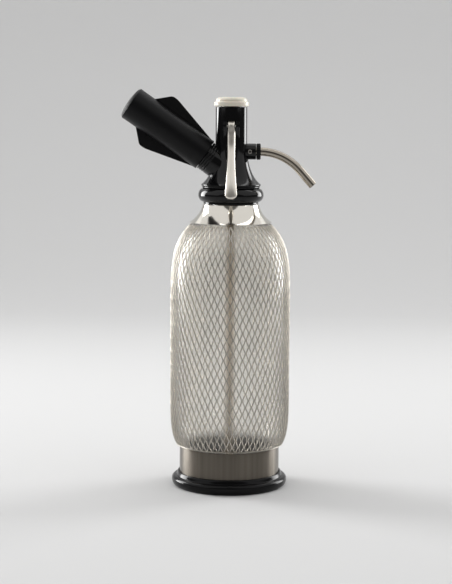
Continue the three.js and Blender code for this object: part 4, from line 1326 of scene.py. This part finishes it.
@dataclass
class Lever:
    """The squeeze lever: an eye on the pivot, a narrow neck, a widening blade and a rounded tip."""

    head: Head
    width: float = 6.4
    tip_width: float = 10.3
    thickness: float = 4.0
    clear: float = 0.8
    press: float = math.radians(8)
    eye_radius: float = 4.0
    fork_reach: float = 1.8
    fork_half: float = 1.7
    slot_half: float = 1.7
    slot_end: float = -3.1
    flare_share: float = 0.97
    knot_rise: float = 0.4
    waist_drop: float = 28.0
    widening: float = 29.0
    widening_power: float = 1.4
    squareness: float = 3.4
    squareness_loss: float = 0.9
    tip_round: float = 5.2
    tip_width_left: float = 0.03
    tip_depth_left: float = 0.05
    tip_depth_round: float = 2.2
    eye_blend: float = 7.5
    eye_width_left: float = 0.7
    eye_width_start: float = 0.1
    eye_depth_start: float = 0.02
    eye_edge: float = 1.5
    end_share: float = 0.08
    end_steps: int = 14
    middle_steps: int = 50

    def face(self, height: float) -> Vector:
        """The place at rest of the inner face's point that clears the head at a height when squeezed home."""
        pivot = Vector((0, -self.head.pivot_offset, self.head.pivot_height))
        squeezed = Vector((0, -self.head.reach(height) - self.clear, height))
        return pivot + Matrix.Rotation(-self.press, 3, "X") @ (squeezed - pivot)

    def build(self) -> None:
        """Builds the blade, its eye and its fork as one piece."""
        lever = mesh_from("lever_casting", self.blade)
        carve(lever, self.fork(), "UNION")
        shade(lever.data, 40.0)
        dress(lever, SATIN_CHROME, Body.LEVER, "lever")

    def knots(self) -> list[Vector]:
        """The places that the blade's middle line goes through, from the eye's top to the tip."""
        head = self.head
        heights = (head.pivot_height - head.pocket_drop,
                   head.flare_bottom + self.flare_share * head.flare_height,
                   head.flare_bottom, head.bulge_middle)
        face = [self.face(height) for height in heights]
        half = self.thickness / 2
        knots = [Vector((0, -head.pivot_offset, head.pivot_height + self.eye_radius)),
                 Vector((0, -head.pivot_offset, head.pivot_height))]
        knots += [spot + Vector((0, -half, self.knot_rise)) for spot in face]
        knots.append(Vector((0, face[-1].y - half, Extent.of("lever").bottom)))
        return knots

    def half_sizes(self, spot: Vector, left: float, done: float) -> tuple[float, float]:
        """The blade's half width and half thickness at one place.

        Args:
            spot: The place on the middle line.
            left: The length that is left to the tip.
            done: The length from the eye's top.

        Returns:
            Both half sizes.
        """
        drop = self.head.pivot_height - spot.z
        widen = min(1.0, max(0.0, (drop - self.waist_drop) / self.widening)) ** self.widening_power
        wide = self.width / 2 + (self.tip_width - self.width) / 2 * widen
        wide *= from_share(self.tip_width_left, dome(left / self.tip_round))
        half = self.thickness / 2
        deep = half + (self.eye_radius - half) * (1 - ease(drop / self.eye_blend))
        ends = dome(left / self.tip_depth_round) * dome((done + self.eye_depth_start) / self.eye_radius)
        deep *= from_share(self.tip_depth_left, ends)
        wide *= from_share(self.eye_width_left, dome((done + self.eye_width_start) / self.eye_edge))
        return wide, deep

    def blade(self, work: Work) -> None:
        """Lofts the blade, with a round eye at its top and a round tip."""
        end = self.end_share
        ends = [1 - math.cos(math.pi / 2 * step / self.end_steps) for step in range(self.end_steps + 1)]
        shares = [end * share for share in ends]
        shares += [end + (1 - 2 * end) * step / self.middle_steps for step in range(1, self.middle_steps)]
        shares += [1 - end * share for share in reversed(ends)]
        track, total = smooth_track(self.knots(), shares)
        sections = []
        for spot, run, share in zip(track, directions(track), shares):
            wide, deep = self.half_sizes(spot, total * (1 - share), total * share)
            across = Vector((1, 0, 0))
            out = across.cross(run).normalized()
            outline = boxy(wide, deep, 40, self.squareness - self.squareness_loss * share)
            sections.append([spot + across * x + out * y for x, y in outline])
        loft(work, sections)

    def fork(self) -> Piece:
        """The two prongs that reach in under the valve stem's collar."""
        half, slot, reach = self.width / 2, self.slot_half, self.fork_reach
        back, middle = -self.head.pivot_offset, self.head.pivot_height
        outline = [(-half, back), (half, back), (half, reach), (slot, reach), (slot, self.slot_end),
                   (-slot, self.slot_end), (-slot, reach), (-half, reach)]
        heights = (middle + self.fork_half, middle - self.fork_half)
        return mesh_from("fork", lambda work: loft(work, [[(x, y, z) for x, y in outline] for z in heights]))


def ease(share: float) -> float:
    """A smooth step from 0 to 1."""
    held = min(1.0, max(0.0, share))
    return held * held * (3 - 2 * held)


def from_share(least: float, share: float) -> float:
    """A value that goes from its least to 1 as a share goes from 0 to 1."""
    return least + (1 - least) * share


def dome(share: float) -> float:
    """The height of a quarter circle at a share of its width, from 0 to 1."""
    return math.sqrt(max(0.0, 1 - (1 - min(1.0, share)) ** 2))


def smooth_track(knots: Sequence[Vector], shares: Sequence[float]) -> tuple[list[Vector], float]:
    """Points of a line through knots, with its corners eased.

    Args:
        knots: The places that the line runs by.
        shares: The places of the points, as shares of the line's length.

    Returns:
        The points and the line's length.
    """
    gap, passes, widest = 0.4, 3, 9
    dense = []
    for before, after in zip(knots, knots[1:]):
        count = max(1, round((after - before).length / gap))
        dense += [before.lerp(after, step / count) for step in range(count)]
    dense.append(knots[-1])
    for _ in range(passes):
        last = len(dense) - 1
        reach = [min(index, last - index, widest) for index in range(last + 1)]
        dense = [sum(dense[index - span:index + span + 1], Vector()) / (2 * span + 1)
                 for index, span in enumerate(reach)]
    runs = runs_of(dense)
    track, index = [], 0
    for share in shares:
        while index < len(runs) - 2 and runs[index + 1] < runs[-1] * share:
            index += 1
        span = max(1e-9, runs[index + 1] - runs[index])
        track.append(dense[index].lerp(dense[index + 1], min(1.0, (runs[-1] * share - runs[index]) / span)))
    return track, runs[-1]


@dataclass
class Spring:
    """The return spring, with its top under the cap. The real spring shortens as the stem rises; this one
    keeps one length.
    """

    joint: str = "valve_lift"
    wire: float = 0.6
    turns: float = 5.0

    def build(self) -> None:
        """Winds the spring."""
        extent = Extent.of("return_spring")
        rise = extent.top - extent.bottom - 2 * self.wire
        radius, low = extent.radius - self.wire, extent.bottom + self.wire
        coil = wind("return_spring_wound", radius, self.wire, self.turns, rise, low)
        dress(coil, POLISHED_STEEL, Body.VALVE, "return_spring")
        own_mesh(coil)


@dataclass
class Cap:
    """The ivory screw cap."""

    flange_height: float = 3.6
    flange_foot: float = 0.8
    flange_lean: float = 0.3
    step_height: float = 0.6
    step_lean: float = 0.5
    top_radius: float = 13.2
    crown_width: float = 5.0
    crown_height: float = 2.8
    plug_radius: float = 8.7
    plug_length: float = 8.0
    spring_bore: float = 5.6
    spring_depth: float = 12.4
    thread: Thread = Thread(8.7, 0.5, 1.5, 2.5)

    def build(self) -> None:
        """Builds the cap with its flange, crown, threaded plug and hollow."""
        cap = Extent.of("cap")
        seat = cap.bottom + self.plug_length
        step = seat + self.flange_height
        outline = rounded([
            Corner(self.spring_bore, cap.bottom),
            Corner(self.plug_radius, cap.bottom, 0.3),
            Corner(self.plug_radius, seat),
            Corner(cap.radius - self.flange_lean, seat, 0.5),
            Corner(cap.radius, seat + self.flange_foot, 0.6),
            Corner(cap.radius, step, 1.1),
            Corner(self.top_radius + self.step_lean, step, 0.3),
            Corner(self.top_radius, step + self.step_height, 0.4),
            Corner(self.top_radius, cap.top - self.crown_height),
        ], 8)
        crown = (self.top_radius - self.crown_width, cap.top - self.crown_height)
        outline += arc(crown, self.crown_width, self.crown_height, 0, 90, 20)[1:]
        roof = cap.bottom + self.spring_depth
        outline += [(0, cap.top), (0, roof), (self.spring_bore, roof)]
        moulding = turned("cap_moulding", outline, 128, closed=True)
        carve(moulding, self.thread.wound(cap.bottom), "UNION")
        shade(moulding.data)
        dress(moulding, IVORY, Body.CAP, "cap")


@dataclass
class Holder:
    """The black charger holder with its two wings."""

    lean: Lean
    mouth: float = 26.8
    mouth_radius: float = 13.8
    end_radius: float = 14.5
    shoulder: float = 102.5
    edge_width: float = 0.7
    edge_height: float = 0.4
    edge_lean: float = 0.05
    dome: float = 2.6
    dome_inset: float = 0.9
    bore: float = 11.1
    bore_end: float = 38.2
    chamber: float = 9.7
    chamber_end: float = 99.7
    fin_start: float = 29.4
    fin_length: float = 58.5
    fin_height: float = 11.0
    fin_thickness: float = 2.4
    fin_root: float = 11.5
    fin_sink: float = 0.2
    fin_end_sink: float = 0.3
    fin_peak_share: float = 0.815
    fin_crest_share: float = 0.09
    fin_round: float = 0.6

    def build(self) -> None:
        """Builds the barrel and joins its wings."""
        outline = rounded([
            Corner(self.bore, self.mouth),
            Corner(self.mouth_radius, self.mouth, 0.5),
            Corner(self.end_radius - self.edge_lean, self.shoulder - self.edge_height, 0.7),
            Corner(self.end_radius - self.edge_width, self.shoulder, 0.4),
        ], 6)
        outline += arc((0, self.shoulder), self.end_radius - self.dome_inset, self.dome, 0, 90, 16)
        outline += [(0, self.chamber_end), (self.chamber, self.chamber_end), (self.chamber, self.bore_end),
                    (self.bore, self.bore_end)]
        holder = turned("charger_holder_moulding", outline, 128, closed=True)
        for side in (1, -1):
            carve(holder, self.wing(side), "UNION")
        shade(holder.data, 34.0)
        place(holder, self.lean.matrix)
        dress(holder, SATIN_BLACK, Body.HOLDER, "charger_holder")

    def wing(self, side: int) -> Piece:
        """One wing: a thin plate with rounded corners and a soft edge."""
        crest = self.mouth_radius + self.fin_height
        peak = self.fin_start + self.fin_length * self.fin_peak_share
        flat = peak - self.fin_length * self.fin_crest_share
        end = self.fin_start + self.fin_length
        outline = rounded([
            Corner(self.fin_root, self.fin_start),
            Corner(self.mouth_radius - self.fin_sink, self.fin_start + self.fin_sink, 0.5),
            Corner(crest, flat, 3.0),
            Corner(crest, peak, 2.0),
            Corner(self.end_radius - self.fin_end_sink, end, 0.8),
            Corner(self.fin_root, end),
        ], 6)
        half = self.fin_thickness / 2

        def build(work: Work) -> None:
            faces = loft(work, [[(side * r, y, z) for r, z in outline] for y in (-half, half)])
            edges = list({edge: None for face in faces for edge in face.edges})
            bmesh.ops.bevel(work, geom=edges, offset=self.fin_round, segments=3, profile=0.5, affect="EDGES")

        return mesh_from("wing", build)


# What stays as the frame has it


def dress_frame_nodes() -> None:
    """Gives every node of the frame that still shows the finish of its slot."""
    slots = {part["node"]: part["material_slot"] for part in frame["record"]["subparts"]}
    for name, node in frame["nodes"].items():
        finish = FINISHES[Slot(slots[name])]
        node.data.materials.clear()
        node.data.materials.append(finish.material())


# The studio


@dataclass(frozen=True)
class SoftBox:
    """A rectangular lamp.

    Its place and its size are in metres and its power in watts. Its turn from facing straight down is in
    degrees, as is the angle that the grid in front of it lets the light out at.
    """

    name: str
    spot: tuple[float, float, float]
    size: tuple[float, float]
    turn: tuple[float, float, float]
    power: float
    grid: float = 180.0

    def build(self) -> None:
        """Adds the lamp."""
        data = bpy.data.lights.new(self.name, "AREA")
        data.shape = "RECTANGLE"
        data.size, data.size_y = self.size
        data.energy = self.power
        data.spread = math.radians(self.grid)
        lamp = put(self.name, data)
        lamp.location = self.spot
        lamp.rotation_euler = [math.radians(angle) for angle in self.turn]
        lamp.visible_camera = False


# Two broad panels overhead with a narrow gap between them, a soft box at each side and one for the backdrop.
SOFT_BOXES = (
    SoftBox("panel_left", (-0.854, 0.0, 1.046), (2.0, 3.0), (0, -35, 0), 14.6),
    SoftBox("panel_right", (0.854, 0.0, 1.046), (2.0, 3.0), (0, 35, 0), 14.6),
    SoftBox("side_left", (-1.59, 0.845, 0.72), (0.8, 1.4), (90, 0, -118), 15.5, grid=100),
    SoftBox("side_right", (1.53, 0.954, 0.72), (0.8, 1.4), (90, 0, 122), 9, grid=100),
    SoftBox("backdrop", (0.0, 0.6, 1.9), (3.2, 0.5), (40, 0, 0), 12),
)


@dataclass
class Studio:
    """The floor, the light and the camera, which stands where the photograph's did."""

    distance: float = 1.375
    height: float = 0.320
    tilt: float = math.radians(6.41)
    roll: float = math.radians(0.37)
    focal_px: float = 1628.0
    image_size: tuple[int, int] = (452, 584)
    axis_px: float = 230.3
    sensor: float = 36.0
    white: float = 0.62
    paper_roughness: float = 0.9
    air_colour: tuple[float, float, float] = (1.0, 0.98, 0.95)
    air_strength: float = 0.12

    def build(self) -> None:
        """Builds the whole studio."""
        self.floor()
        self.lights()
        self.camera()

    def floor(self) -> None:
        """A pale sweep that curves up behind the siphon."""
        depth, rise, wide, bend, front = 1.6, 1.8, 8.0, 0.5, 8.0
        profile = [(-front, 0.0), (depth - bend, 0.0)]
        profile += [(depth - bend + bend * math.sin(a), bend - bend * math.cos(a))
                    for a in (math.pi / 2 * step / 16 for step in range(1, 17))]
        profile.append((depth, rise))

        def build(work: Work) -> None:
            rows = [[work.verts.new((x / MM, y / MM, z / MM)) for x in (-wide, wide)] for y, z in profile]
            for low, high in zip(rows, rows[1:]):
                work.faces.new([low[0], low[1], high[1], high[0]])

        sweep = mesh_from("studio_sweep", build)
        material = bpy.data.materials.new("studio_paper")
        material.use_nodes = True
        shader = material.node_tree.nodes["Principled BSDF"]
        shader.inputs["Base Color"].default_value = (self.white, self.white, self.white, 1)
        shader.inputs["Roughness"].default_value = self.paper_roughness
        sweep.data.materials.append(material)

    def lights(self) -> None:
        """The soft boxes and a dim, even air."""
        world = bpy.data.worlds.new("studio_air")
        bpy.context.scene.world = world
        world.use_nodes = True
        air = world.node_tree.nodes["Background"].inputs
        air["Color"].default_value = (*self.air_colour, 1)
        air["Strength"].default_value = self.air_strength
        for box in SOFT_BOXES:
            box.build()

    def camera(self) -> None:
        """The camera at the photograph's place, angle and lens."""
        data = bpy.data.cameras.new("camera")
        data.sensor_fit = "VERTICAL"
        data.sensor_height = self.sensor
        data.lens = self.focal_px * self.sensor / self.image_size[1]
        camera = put("camera", data)
        yaw = math.atan((self.axis_px - self.image_size[0] / 2) / self.focal_px)
        camera.location = (0, -self.distance, self.height)
        look = Matrix.Rotation(yaw, 4, "Z") @ Matrix.Rotation(math.pi / 2 - self.tilt, 4, "X")
        camera.rotation_euler = (look @ Matrix.Rotation(self.roll, 4, "Z")).to_euler()
        bpy.context.scene.camera = camera
        bpy.context.scene.view_settings.view_transform = "Standard"


def main() -> None:
    """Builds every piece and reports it."""
    logging.basicConfig(level=logging.INFO, format="%(message)s")
    Studio().build()
    dress_frame_nodes()
    wall = Wall()
    lean = Lean()
    head = Head(lean)
    parts = (Foot(), Bottle(wall), Jacket(wall), Collar(), head, Spout(head), Lever(head), Spring(), Cap(),
             Holder(lean))
    for part in parts:
        part.build()
        LOG.info("%s done", type(part).__name__)


if __name__ == "__main__":
    main()
